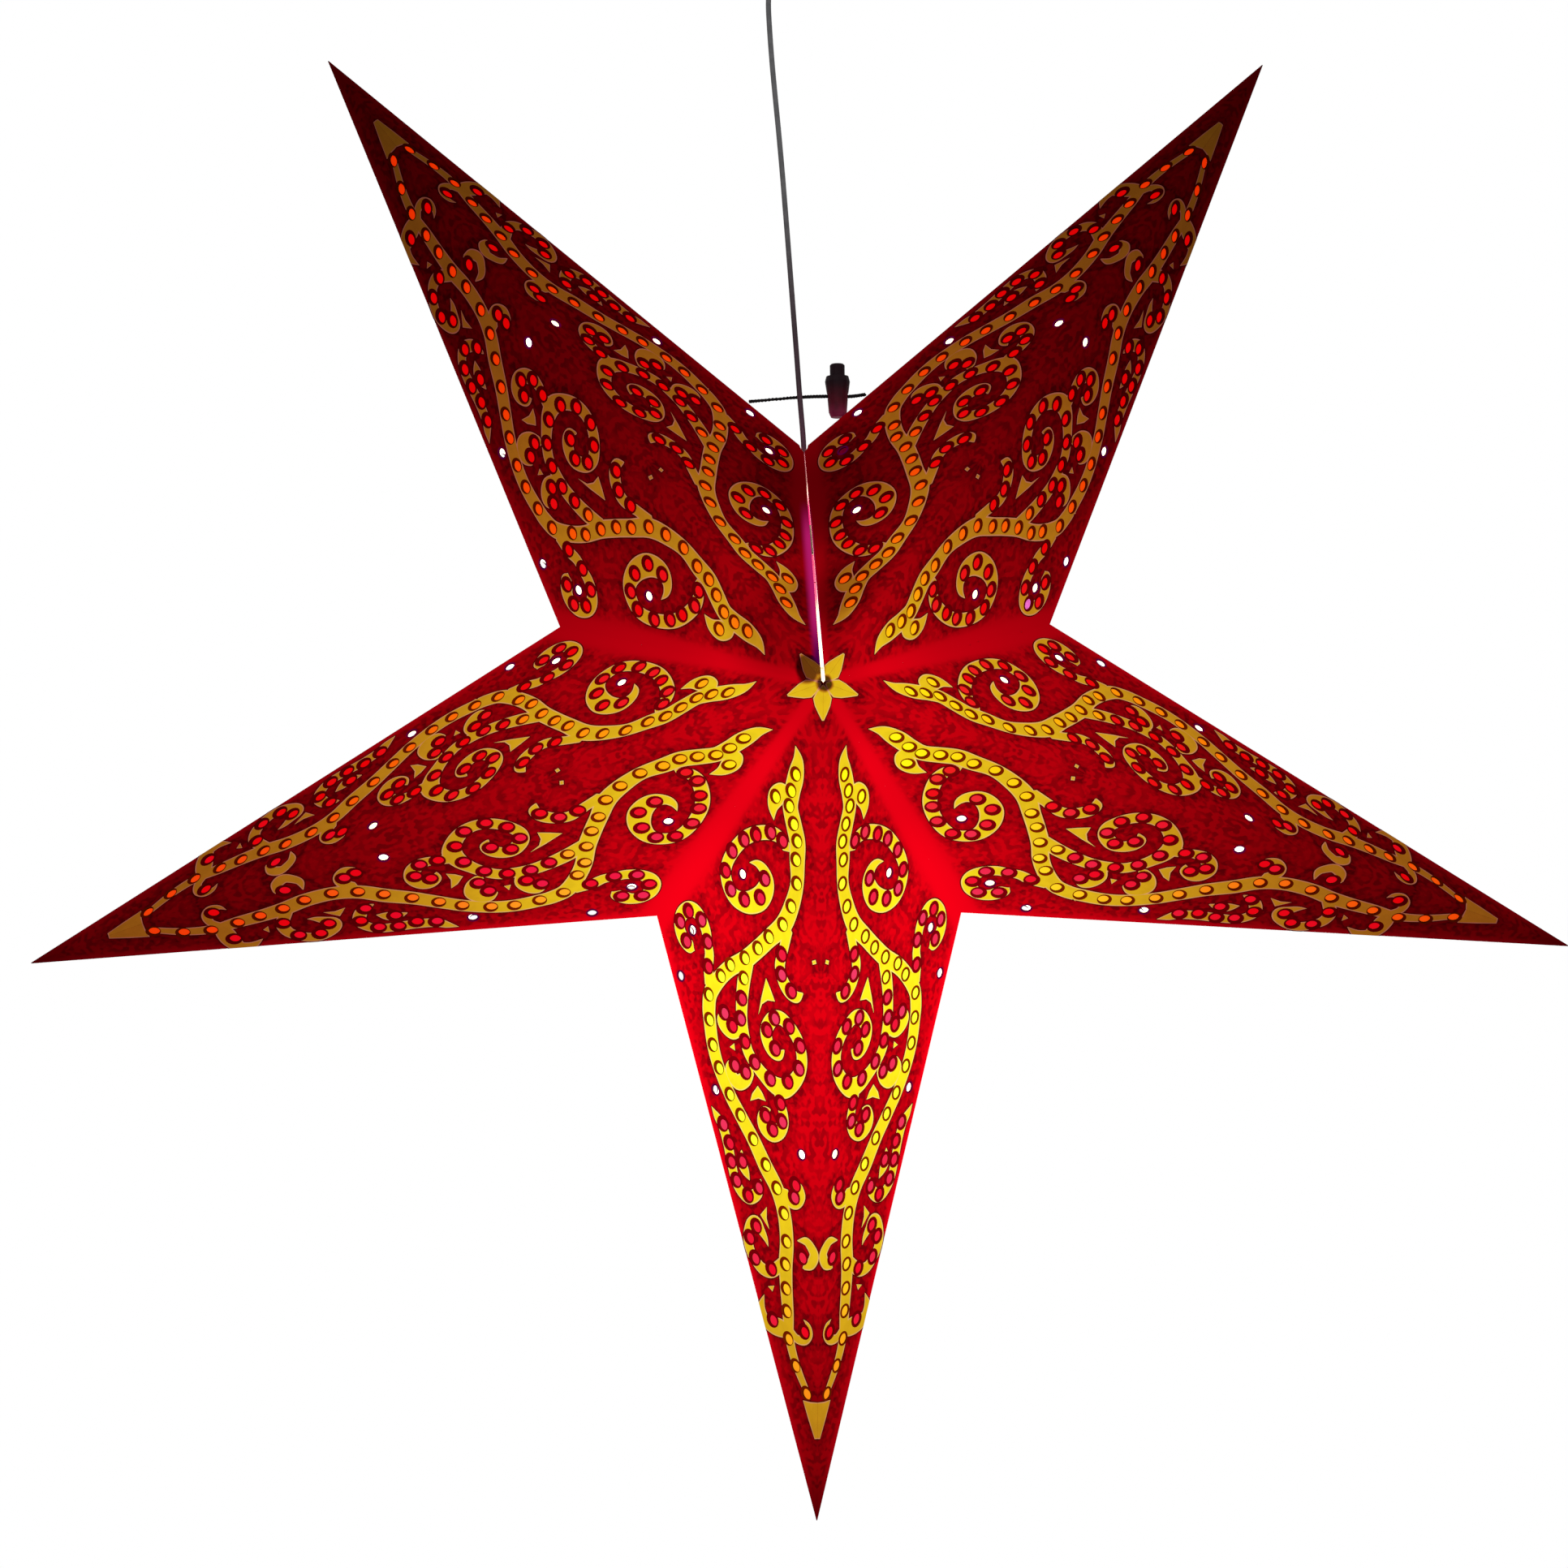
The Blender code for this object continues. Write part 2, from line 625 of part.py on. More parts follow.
def add_holder(shell_paint, body_paint, block_paint, grip_paint):
    """The lamp holder: screw shell, centre contact, contact block, body, hood and cord grip."""
    inner = SHELL_RADIUS - SHELL_WALL
    shell = (
        (SHELL_FLANGE, SHELL_TOP),
        (SHELL_FLANGE, SHELL_TOP - SHELL_WALL),
        (SHELL_RADIUS, SHELL_TOP - SHELL_WALL),
        (SHELL_RADIUS, SHELL_FOOT),
        (inner, SHELL_FOOT),
        (inner, SHELL_TOP),
    )
    turned("screw_shell", shell, shell_paint)
    leaf = bpy.data.curves.new("centre_contact", "CURVE")
    leaf.dimensions = "2D"
    leaf.fill_mode = "BOTH"
    leaf.extrude = LEAF_WIDTH / 2
    outline = leaf.splines.new("POLY")
    top = BLOCK_FOOT - SEAT_GAP
    places = (
        (-LEAF_LENGTH, top),
        (-LEAF_LENGTH, top - LEAF_THICK),
        (-LEAF_LENGTH / 2, top - LEAF_THICK),
        (0, top - LEAF_THICK - LEAF_DIP),
        (LEAF_LENGTH / 2, top - LEAF_THICK),
        (LEAF_LENGTH / 2, top),
        (0, top - LEAF_DIP),
        (-LEAF_LENGTH / 2, top),
    )
    outline.points.add(len(places) - 1)
    for point, place in zip(outline.points, places):
        point.co = (*place, 0, 1)
    outline.use_cyclic_u = True
    add_object("centre_contact", leaf, shell_paint, Matrix.Rotation(math.pi / 2, 4, "X"))
    block = (
        (0, BLOCK_TOP),
        (BLOCK_RADIUS - BLOCK_ROUND, BLOCK_TOP),
        (BLOCK_RADIUS, BLOCK_TOP - BLOCK_ROUND),
        (BLOCK_RADIUS, BLOCK_FOOT),
        (0, BLOCK_FOOT),
    )
    turned("contact_block", block, block_paint)
    bore = BODY_RADIUS - BODY_WALL
    body = (
        (BODY_RADIUS, BODY_TOP),
        (BODY_RADIUS, BODY_FOOT + BODY_LIP),
        (BODY_FOOT_RADIUS, BODY_FOOT),
        (BODY_FOOT_RADIUS - BODY_WALL, BODY_FOOT),
        (bore, BODY_FOOT + BODY_LIP),
        (bore, BODY_TOP),
    )
    turned("holder_body", body, body_paint)
    foot = BODY_TOP + SEAT_GAP
    shoulder = (foot + HOOD_TOP) / 2
    hood = (
        (HOOD_HOLE, HOOD_TOP),
        (HOOD_SHOULDER_RADIUS, HOOD_TOP - HOOD_WALL),
        (HOOD_RADIUS, shoulder),
        (HOOD_RADIUS, foot),
        (HOOD_RADIUS - HOOD_WALL, foot),
        (HOOD_RADIUS - HOOD_WALL, shoulder - HOOD_WALL / 2),
        (HOOD_SHOULDER_RADIUS - HOOD_WALL, HOOD_TOP - 2 * HOOD_WALL),
        (HOOD_HOLE, HOOD_TOP - HOOD_WALL),
    )
    turned("holder_hood", hood, body_paint)
    bore = CORD_RADIUS + CORD_CLEARANCE
    flange = HOOD_TOP + SEAT_GAP
    grip = (
        (bore, GRIP_TOP),
        (GRIP_TIP_RADIUS, GRIP_TOP),
        (GRIP_FLANGE_RADIUS, flange + GRIP_FLANGE),
        (GRIP_FLANGE_RADIUS, flange),
        (GRIP_NECK_RADIUS, flange),
        (GRIP_NECK_RADIUS, GRIP_FOOT),
        (bore, GRIP_FOOT),
    )
    turned("cord_grip", grip, grip_paint, sides=LAMP_SIDES // 2)


def make_collections():
    """One collection for the lantern and one for its cutters."""
    found = []
    for name in ("paper_star_lantern", "cutters"):
        found.append(bpy.data.collections.new(name))
        bpy.context.scene.collection.children.link(found[-1])
    return found


for old in list(bpy.data.objects):
    bpy.data.objects.remove(old, do_unlink=True)
lantern, cutters = make_collections()
cutters.hide_render = True
star = bpy.data.objects.new("star_centre", None)
star.location = (HANG_LEAN, 0, -HANG_DROP)
lantern.objects.link(star)

red_card = paint("red_card", (0.45, 0.004, 0.012), 0.7)
orange_tissue = paint("orange_tissue", (0.85, 0.35, 0.08), 0.8)
dark_cord = paint("dark_cord", (0.035, 0.028, 0.038), 0.6)
black_string = paint("black_string", (0.02, 0.02, 0.022), 0.8)
dark_plastic = paint("dark_red_plastic", (0.09, 0.012, 0.02), 0.4)
black_plastic = paint("black_plastic", (0.03, 0.03, 0.032), 0.45)
frosted = paint("frosted_globe", (0.93, 0.92, 0.88), 0.35)
white_plastic = paint("white_plastic", (0.86, 0.85, 0.82), 0.4)
board_white = paint("board_white", (0.9, 0.9, 0.88), 0.5)
steel = paint("bright_steel", (0.66, 0.66, 0.66), 0.3, 1.0)
brass = paint("brass", (0.72, 0.53, 0.24), 0.35, 1.0)
cream = paint("cream_insulation", (0.75, 0.7, 0.6), 0.6)

add_panels(red_card, orange_tissue)
add_cord(dark_cord, black_plastic)
add_tie(black_string, dark_plastic, black_plastic, steel)
add_lamp(frosted, white_plastic, board_white, steel, black_plastic)
add_holder(brass, white_plastic, cream, black_plastic)
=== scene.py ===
"""Paper star lantern: printed and punched card, tinted windows, cord, tie string, toggle and lamp."""

import bisect
import functools
import math

import bmesh
import bpy
from mathutils import Matrix, Vector
from mathutils.geometry import delaunay_2d_cdt, tessellate_polygon
from mathutils.kdtree import KDTree


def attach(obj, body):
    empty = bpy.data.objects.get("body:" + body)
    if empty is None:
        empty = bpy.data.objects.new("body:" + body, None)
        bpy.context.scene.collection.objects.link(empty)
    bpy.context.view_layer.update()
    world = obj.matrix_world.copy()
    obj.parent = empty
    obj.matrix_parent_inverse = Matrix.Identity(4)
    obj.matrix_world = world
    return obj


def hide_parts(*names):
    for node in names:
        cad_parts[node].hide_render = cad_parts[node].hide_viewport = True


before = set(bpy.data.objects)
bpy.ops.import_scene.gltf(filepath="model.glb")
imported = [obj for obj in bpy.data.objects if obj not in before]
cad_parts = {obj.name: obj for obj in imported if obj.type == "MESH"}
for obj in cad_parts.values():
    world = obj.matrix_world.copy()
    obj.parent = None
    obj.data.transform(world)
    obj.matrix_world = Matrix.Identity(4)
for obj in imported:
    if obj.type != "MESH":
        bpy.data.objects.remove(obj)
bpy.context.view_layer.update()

bl_info = {
    "name": "Paper star lantern",
    "version": (1, 0, 0),
    "blender": (4, 5, 0),
    "location": "3D View > Sidebar > Star lantern",
    "description": "Dresses a folded paper star lantern with print, punched windows and cords",
    "category": "Object",
}

# The star, as the solids have it. Corners run clockwise from the top valley.
ARMS = 5
BY_SEAM = (0, 2 * ARMS - 1)
TIP_RADIUS = 0.3
VALLEY_RADIUS = 0.096
HALF_DEPTH = 0.09
STAR = Vector((0.0112, 0, -0.3))
HALF_RIM = 0.0001
# Half the width of the open seam, at the valley and at the centre.
HALF_SEAM_FRONT = (0.00012, 0.00062)
HALF_SEAM_BACK = (0.00004, 0.00004)
CENTRE_CUT = 0.0003
TIP_CUT = 0.001
NOTCH_RADIUS = 0.0016
GLOW_CENTRE = STAR + Vector((0, 0, 0.03))
FALL_CENTRE = STAR + Vector((0, 0, -0.035))

# The photograph's right half of the lowest arm, in pixels from the star's centre.
PHOTO_SIZE = 1932
TIP_PX = (0, 1043)
VALLEY_PX = (180, 277)
VIEW_DISTANCE = 1.205

# Gold bands of the scrollwork: pixel places and half widths in millimetres.
BANDS = (
    # The stem, from its tip near the centre to the end of the arm.
    ((30, 77, 0.1), (27, 95, 2.7), (29, 114, 4.1), (33, 134, 4.1), (35, 153, 4.1), (31, 176, 4.3), (27, 198, 4.3),
     (27, 221, 4.1), (27, 251, 3.5), (33, 279, 3.9), (42, 301, 4.1), (57, 316, 3.7), (69, 328, 3.7), (83, 340, 3.7),
     (98, 348, 3.5), (110, 360, 3.5), (120, 377, 3.7), (122, 395, 3.7), (121, 412, 3.6), (117, 444, 3.5),
     (110, 473, 3.4), (98, 507, 3.4), (86, 534, 3.5), (72, 565, 3.7), (59, 598, 4), (46, 628, 3.9), (38, 660, 3.8),
     (35, 694, 3.8), (36, 723, 3.8), (35, 752, 3.5), (33, 781, 3.2), (31, 814, 2.6), (23, 849, 2.2), (10, 886, 1.7)),
    # The lobe beside the tip of the stem.
    ((39, 133, 2.4), (45, 133, 3.8), (51, 140, 4.4), (54, 152, 2.9), (53, 168, 0.1)),
    # The large spiral.
    ((39, 203, 2.6), (46, 191, 2.9), (56, 184, 3.1), (71, 183, 3.1), (84, 188, 3.1), (95, 200, 3.1), (103, 216, 3.1),
     (105, 232, 3.2), (101, 250, 3.5), (93, 263, 4), (81, 269, 4.8), (69, 266, 5.2), (62, 256, 4.8), (60, 243, 4),
     (64, 229, 2.7), (71, 221, 1.6), (79, 219, 0.1)),
    # The curl by the rim.
    ((121, 367, 3.2), (123, 346, 2.9), (122, 330, 2.7), (124, 315, 2.7), (126, 300, 2.9), (131, 285, 3.1),
     (138, 274, 3.3), (146, 271, 3.3), (153, 278, 3.3), (155, 291, 3.2), (152, 304, 3.4), (147, 313, 3.6),
     (142, 320, 2.8), (139, 323, 0.6)),
    # The short branch below the fork.
    ((38, 307, 3.4), (40, 325, 2.6), (43, 338, 2.7), (45, 351, 2.9), (43, 364, 3.1), (39, 376, 3.3), (33, 386, 3.3),
     (26, 391, 2.7), (20, 388, 0.5)),
    # The inner branch and its spiral.
    ((80, 343, 3.4), (84, 365, 3.7), (86, 389, 3.5), (86, 413, 3.3), (83, 435, 3.1), (79, 454, 3.1), (71, 471, 3.1),
     (62, 485, 3.3), (52, 497, 4), (41, 504, 4.4), (31, 500, 3.7), (23, 488, 3.3), (20, 472, 3.1), (22, 455, 3.1),
     (27, 440, 3.1), (35, 426, 3.1), (44, 416, 3.1), (53, 417, 3.3), (59, 429, 3.5), (58, 443, 3.3), (52, 456, 3.3),
     (45, 462, 2.4), (40, 457, 0.6)),
    # Two hooks off the inner branch.
    ((87, 427, 2.4), (96, 429, 3.2), (104, 422, 3.1), (108, 412, 2.8), (107, 402, 1.2)),
    ((76, 479, 2.4), (81, 488, 3.4), (89, 492, 3.5), (96, 484, 3.2), (99, 473, 2.5), (97, 463, 0.8)),
    # The curl below the inner spiral.
    ((46, 501, 3.2), (43, 521, 2.7), (40, 535, 2.7), (40, 547, 3.2), (44, 557, 3.4), (52, 560, 3.3), (60, 552, 3.1),
     (63, 541, 2.9), (60, 531, 2.4), (55, 529, 0.8)),
    # The leafy strand by the rim.
    ((118, 519, 0.1), (112, 532, 2), (106, 544, 2.7), (100, 567, 2.9), (96, 590, 2.8), (91, 614, 2.7),
     (84, 629, 2.7), (76, 636, 2.9), (68, 632, 2.8), (65, 624, 2.2), (64, 615, 0.5)),
    ((85, 577, 0.4), (84, 592, 2.7), (80, 604, 2.2), (76, 614, 0.2)),
    # The hook towards the ridge.
    ((38, 633, 2.6), (32, 644, 2.9), (25, 646, 3.1), (20, 638, 2.7), (20, 627, 1)),
    # The loop by the rim near the end.
    ((40, 721, 2.8), (51, 729, 2.9), (61, 725, 2.9), (69, 713, 2.9), (75, 699, 2.9), (77, 684, 2.9), (74, 669, 2.9),
     (68, 667, 3), (63, 677, 2.4), (58, 688, 1.4), (55, 698, 0.1)),
    # The horn at the ridge.
    ((23, 694, 0.3), (14, 696, 2), (8, 705, 2.5), (5, 715, 2.7), (9, 725, 2.3), (16, 728, 1)),
    # The crescent and the small hook opposite.
    ((59, 757, 0.1), (62, 772, 2.4), (59, 786, 3.3), (50, 795, 4.1), (40, 800, 4.2), (33, 803, 3)),
    ((30, 805, 2.2), (23, 815, 2.1), (15, 817, 2.3), (10, 810, 2.2), (11, 800, 1.4), (16, 792, 0.1)),
)

# Leaves and petals: outlines in pixels.
LEAVES = (
    ((60, 365), (55, 379), (50, 395), (58, 393), (64, 397), (68, 410), (65, 389)),
    ((68, 498), (63, 507), (59, 518), (67, 514), (76, 516), (74, 507)),
    ((94, 443), (99, 447), (93, 452)),
    ((57, 649), (64, 658), (54, 677), (57, 663)),
    ((48, 747), (55, 747), (50, 754)),
    ((-3, 896), (8, 894), (16, 891), (10, 915), (3, 940), (-3, 940)),
    ((6, 347), (10, 348), (9, 353), (5, 352)),
)
PETAL = ((-7, 1), (1, 3), (7, 10), (11, 19), (9, 29), (5, 39), (1, 48), (-7, 48))

# Punched dots, in pixels, by the tint of the tissue behind them.
STEM_DOTS = (
    (29, 114), (34, 134), (36, 153), (31, 176), (27, 198), (28, 221), (27, 251), (33, 279), (42, 301), (57, 315),
    (69, 328), (83, 339), (99, 346), (109, 359), (122, 381), (121, 412), (117, 444), (110, 473), (98, 507), (86, 534),
    (72, 565), (58, 598), (46, 628), (38, 660), (35, 695), (36, 723), (35, 753), (34, 781), (32, 815), (24, 849),
    (12, 884), (51, 140), (84, 364),
)
SCROLL_DOTS = (
    (43, 196), (56, 184), (72, 186), (85, 191), (98, 204), (105, 228), (99, 252), (84, 266), (67, 265), (62, 242),
    (123, 346), (124, 315), (131, 287), (145, 275), (154, 287), (147, 312), (43, 338), (43, 363), (32, 385),
    (86, 389), (87, 414), (82, 443), (71, 470), (54, 492), (35, 497), (23, 482), (22, 454), (34, 429), (50, 417),
    (58, 431), (49, 455), (105, 405), (96, 422), (81, 481), (93, 471), (43, 523), (41, 546), (51, 555), (59, 537),
    (105, 543), (98, 567), (96, 590), (90, 614), (77, 634), (66, 625), (84, 591), (26, 626), (27, 641), (68, 673),
    (75, 686), (69, 712), (51, 727), (18, 716), (49, 790), (15, 808),
)
OPEN_DOTS = ((153, 354), (114, 499), (141, 298), (87, 233), (20, 588))
ODD_DOTS = {
    "arm1_front_a": ((141, 298), (0.13, 0, 0.015)), "arm1_front_b": ((145, 275), (0.9, 0.16, 0.62)),
}
DOT_RADIUS = 0.00205
OPEN_RADIUS = 0.0017
STEM_RING = 0.0028
SCROLL_RING = 0.0032
# How far the rings of painted shade miss their dots, on the four kinds of panel, so that each hole's shaded wall shows
# on one side.
RING_SHIFTS = ((0.0004, -0.0002), (0.0004, -0.0001), (-0.0002, -0.0003), (-0.0004, 0.0003))
LOW_ARM = (4, 5)
WINDOW_RADIUS = 0.00245
WINDOW_GAP = 0.00003
WINDOW_INSET = 0.0004
PRINT_INSET = 0.00002
STEM_SHARE = 0.92
SCROLL_SHARE = 0.86
LEAST_HALF_WIDTH = 0.00002
GRID_STEP = 0.0017
REACH_LIMIT = 0.008
SMOOTH_STEPS = 5
DOT_SIDES = 16
CELL_GAP = 1e-7
LEAST_AREA = 4e-10
MERGE_ANGLE = 0.02
MERGE_GAP = 5e-7
SHEET_SPARE = 1.06

# The cord and its loop, from the star's centre and from the hanging point.
CORD_RADIUS = 0.001
CORD_ROUTE = (
    (0, 0, 0.0433), (0, 0, 0.075), (0, 0, 0.096), (-0.0013, 0, 0.1157), (-0.0026, 0.0004, 0.137),
    (-0.0068, 0, 0.2), (-0.01, 0.0003, 0.24), (-0.0112, 0, 0.26), (-0.0112, 0, 0.2671),
)
LOOP_ROUTE = (
    (0.0017, 0, -0.0277), (0.002, 0, -0.0235), (0.0052, 0, -0.015), (0.0062, 0, -0.007),
    (0.0038, 0, -0.001), (0, 0, 0.001), (-0.0038, 0, -0.001), (-0.0062, 0, -0.007),
    (-0.0052, 0, -0.015), (-0.002, 0, -0.0235), (-0.0017, 0, -0.0277),
)
CLIP_RADIUS = 0.0034
CLIP_ROUND = 0.0008
CLIP_TOP = -0.028
CLIP_FOOT = -0.0329

# The tie string, from the star's centre, and the toggle on it.
TIE_ALONG_RIM = 0.0308
TIE_SAG = 0.004
TIE_STANDOFF = 0.0007
TIE_RADIUS = 0.0006
TIE_BEHIND_CORD = (-0.0013, 0.0026, 0.1157)
TIE_IN_TOGGLE = (0.0132, 0.004, 0.1163)
TIE_STRAIGHT = 0.0052
TIE_PLIES = 3
TIE_LAY = 0.0034
PLY_RADIUS = 0.7
PLY_OFFSET = 0.5
TOGGLE_HEIGHT = 0.1163

# Painted shade on the front, from the star's centre: place, full and faded radius, depth of the painted shade.
SHADES = (
    ((0.0006, -0.0886, -0.0001), 0.0022, 0.0037, 0.985),
    ((-0.0046, -0.0854, 0.0054), 0.0044, 0.0064, 0.93),
    ((0, -0.082, -0.012), 0.008, 0.034, 0.17),
    ((-0.009, -0.07, 0.022), 0.01, 0.032, 0.5),
    ((0, -0.025, 0.075), 0.012, 0.045, 0.55),
    ((0.01, -0.06, 0.034), 0.007, 0.027, 0.62),
)

# The card's materials by number.
PRINTED_FACE, WHITE_BACK, CUT_EDGE = range(3)

# Light and tones. The body is the share of a colour that lit paper shows by daylight.
BODY = 0.1
FALL_REACH = 0.185
FALL_POWER = 4
INSIDE_GLOW = 1.3
TISSUE_GLOW = 1.1
GLOBE_GLOW = 2.5
ROSY = (0.34, 0.015, 0.11)
# Painted shade round the holes that have no tissue behind them.
HOLE_RIM_SHADE = (0.05, 0, 0.04)
BLACK = (0.018, 0.017, 0.019)

# The stage: floor, lamps by name, place, power and size, and the backgrounds' colour and strength.
FLOOR_LEVEL = -1.15
FLOOR_HALF = 0.75
LAMPS = (
    ("key", (-0.9, -1.5, 0.6), 9, 1.2),
    ("fill", (1.3, -1.1, -0.1), 5, 1.4),
    ("back", (0.2, 1.6, 0.5), 6, 1.4),
)
SOFT_LIGHT = ((0.8, 0.8, 0.8), 0.35)
WHITE_LIGHT = ((1, 1, 1), 1)

# Camera, from the corners of the star in the photograph.
FOCAL_PX = 4000
SENSOR = 36
VIEW_TURNS = (-3.52, 3.19, 0.67)
VIEW_SHIFT = (0.0085, 0.0293)
VIEW_DEPTH = 1.2047


# ---- Sizes and colours a user would change ----
class LanternSizes(bpy.types.PropertyGroup):
    card: bpy.props.FloatProperty(
        name="Card", description="Thickness of the card", default=0.0005, unit="LENGTH"
    )
    layer: bpy.props.FloatProperty(
        name="Print layer", description="Height of one layer of print", default=0.00002, unit="LENGTH"
    )
    outline: bpy.props.FloatProperty(
        name="Outline", description="Width of the dark outline of the print", default=0.00045, unit="LENGTH"
    )
    edge: bpy.props.FloatProperty(
        name="Edge tone", description="Width of the pale edge inside the outline", default=0.00045, unit="LENGTH"
    )
    glow: bpy.props.FloatProperty(
        name="Glow", description="Brightness of the lit paper", default=1.0, min=0.0, subtype="FACTOR"
    )


class LanternColours(bpy.types.PropertyGroup):
    red: bpy.props.FloatVectorProperty(
        name="Red", description="Ground of the card", default=(0.66, 0.0, 0.005), size=3, subtype="COLOR"
    )
    deep: bpy.props.FloatVectorProperty(
        name="Deep red", description="Veins in the card", default=(0.16, 0.0, 0.003), size=3, subtype="COLOR"
    )
    bright: bpy.props.FloatVectorProperty(
        name="Bright red", description="Plain bands at the valleys", default=(0.80, 0.0, 0.007), size=3, subtype="COLOR"
    )
    gold: bpy.props.FloatVectorProperty(
        name="Gold", description="Gold of the scrollwork", default=(0.92, 0.70, 0.012), size=3, subtype="COLOR"
    )
    edge: bpy.props.FloatVectorProperty(
        name="Edge tone", description="Pale edge of the gold", default=(0.95, 0.66, 0.160), size=3, subtype="COLOR"
    )
    outline: bpy.props.FloatVectorProperty(
        name="Outline", description="Outline of the gold", default=(0.10, 0.004, 0.002), size=3, subtype="COLOR"
    )
    # Painted shade: the stem and scroll rings are the shaded wall of each punched hole, as a dark ring round the dot.
    stem_ring_shade: bpy.props.FloatVectorProperty(
        name="Stem rings", description="Ring round a dot of the stem", default=(0.22, 0.016, 0.0), size=3,
        subtype="COLOR"
    )
    scroll_ring_shade: bpy.props.FloatVectorProperty(
        name="Scroll rings", description="Ring round a dot of the scrolls", default=(0.20, 0.0, 0.003), size=3,
        subtype="COLOR"
    )
    # Painted shade: the card's cut edge in a punched hole is dark red-brown, as it lies in shade.
    cut_edge: bpy.props.FloatVectorProperty(
        name="Cut edge", description="Edge of the card in a punched hole", default=(0.13, 0.008, 0.0), size=3,
        subtype="COLOR"
    )


def sizes():
    return bpy.context.scene.lantern_sizes


def colours():
    return bpy.context.scene.lantern_colours


# ---- The star's geometry ----
def corner(k):
    radius = TIP_RADIUS if k % 2 else VALLEY_RADIUS
    turn = math.pi * k / ARMS
    return Vector((radius * math.sin(turn), 0, radius * math.cos(turn)))


def clockwise(k):
    turn = math.pi * k / ARMS
    return Vector((math.cos(turn), 0, -math.sin(turn)))


def apex(side):
    return Vector((0, side * HALF_DEPTH, 0))


def panel_corners(k, side):
    """Apex, tip and valley corner of half-arm k, from the star's centre."""
    return apex(side), corner(k | 1), corner(k + k % 2)


def panel_matrix(k, side):
    """From a flat panel, with the ridge along X and the valley towards Y, to its place on the star."""
    top, tip, valley = panel_corners(k, side)
    along = (tip - top).normalized()
    across = valley - top
    across = (across - along * across.dot(along)).normalized()
    out = along.cross(across)
    if out.y * side < 0:
        out = -out
    return Matrix.Translation(STAR + top) @ Matrix((along, across, out)).transposed().to_4x4()


def flat_corners():
    top, tip, valley = panel_corners(1, -1)
    along = (tip - top).normalized()
    reach = (valley - top).dot(along)
    return Vector(((tip - top).length, 0)), Vector((reach, ((valley - top) - along * reach).length))


FLAT_TIP, FLAT_VALLEY = flat_corners()


def flat(x, y):
    """A pixel on the right half of the lowest arm, as a place on the flat panel."""
    across, along, offset = Vector(VALLEY_PX), Vector(TIP_PX), Vector((x, y))
    area = along.cross(across)
    valley = along.cross(offset) / area
    tip = offset.cross(across) / area
    weights = ((1 - tip - valley) / (VIEW_DISTANCE - HALF_DEPTH), tip / VIEW_DISTANCE, valley / VIEW_DISTANCE)
    total = sum(weights)
    return FLAT_TIP * (weights[1] / total) + FLAT_VALLEY * (weights[2] / total)


def seam_plane(side, way, inset):
    """The edge of the open seam in the top valley, which is widest at the centre of the star."""
    across = clockwise(0) * way
    run = apex(side) - corner(0)
    ends = HALF_SEAM_FRONT if side < 0 else HALF_SEAM_BACK
    spread = (ends[1] - ends[0]) / run.length
    return STAR + corner(0) + across * (ends[0] + inset), (run.normalized() * spread - across).normalized()


def edge_planes(k, side, inset):
    """The planes that trim half-arm k, each as a point and the direction of what is cut away."""
    start, end, tip = clockwise(k), clockwise(k + 1), corner(k | 1).normalized()
    return (
        seam_plane(side, 1, inset) if k == BY_SEAM[0] else (STAR + start * inset, -start),
        seam_plane(side, -1, inset) if k == BY_SEAM[1] else (STAR - end * inset, end),
        (STAR + Vector((0, side * (HALF_RIM + inset), 0)), Vector((0, -side, 0))),
        (STAR + Vector((0, side * (HALF_DEPTH - CENTRE_CUT), 0)), Vector((0, side, 0))),
        (STAR + tip * (TIP_RADIUS - TIP_CUT), tip),
    )


# Each half-arm, in front and behind, by its name.
PANELS = {
    f"arm{k // 2 + 1}_{'front' if side < 0 else 'back'}_{'ab'[k % 2]}": (k, side)
    for k in range(2 * ARMS) for side in (-1, 1)
}


# ---- Flat shapes ----
def pairs(loop):
    """Each point of a closed loop with the one after it."""
    return zip(loop, loop[1:] + loop[:1])


def smooth(points, steps):
    """A Catmull-Rom line through points of any size."""
    padded = [points[0], *points, points[-1]]
    found = []
    for before, start, end, after in zip(padded, padded[1:], padded[2:], padded[3:]):
        for number in range(steps):
            t = number / steps
            found.append(tuple(
                (2 * s + (e - b) * t + (2 * b - 5 * s + 4 * e - a) * t * t + (3 * s - b - 3 * e + a) * t * t * t) / 2
                for b, s, e, a in zip(before, start, end, after)
            ))
    return found + [tuple(points[-1])]


def band_sides(number, grow):
    """The left and right side of a band, made wider by grow, and its end points."""
    share = SCROLL_SHARE if number else STEM_SHARE
    line = smooth([(*flat(x, y), width * share / 1000) for x, y, width in BANDS[number]], SMOOTH_STEPS)
    left, right = [], []
    for index, (x, y, width) in enumerate(line):
        before = line[max(0, index - 1)]
        after = line[min(len(line) - 1, index + 1)]
        run = Vector((after[0] - before[0], after[1] - before[1]))
        if run.length == 0:
            continue
        run.normalize()
        side = Vector((-run.y, run.x)) * max(width + grow, LEAST_HALF_WIDTH)
        left.append(Vector((x, y)) + side)
        right.append(Vector((x, y)) - side)
    caps = []
    for end, inner in ((line[0], line[1]), (line[-1], line[-2])):
        out = Vector(end[:2]) - Vector(inner[:2])
        caps.append(Vector(end[:2]) + out.normalized() * max(end[2] + grow, 0))
    return left, right, *caps


def band_triangles(number, grow):
    left, right, first, last = band_sides(number, grow)
    found = [(left[0], first, right[0]), (right[-1], last, left[-1])]
    for before, after in zip(zip(left, right), zip(left[1:], right[1:])):
        found += [(before[1], after[1], after[0]), (before[1], after[0], before[0])]
    return found


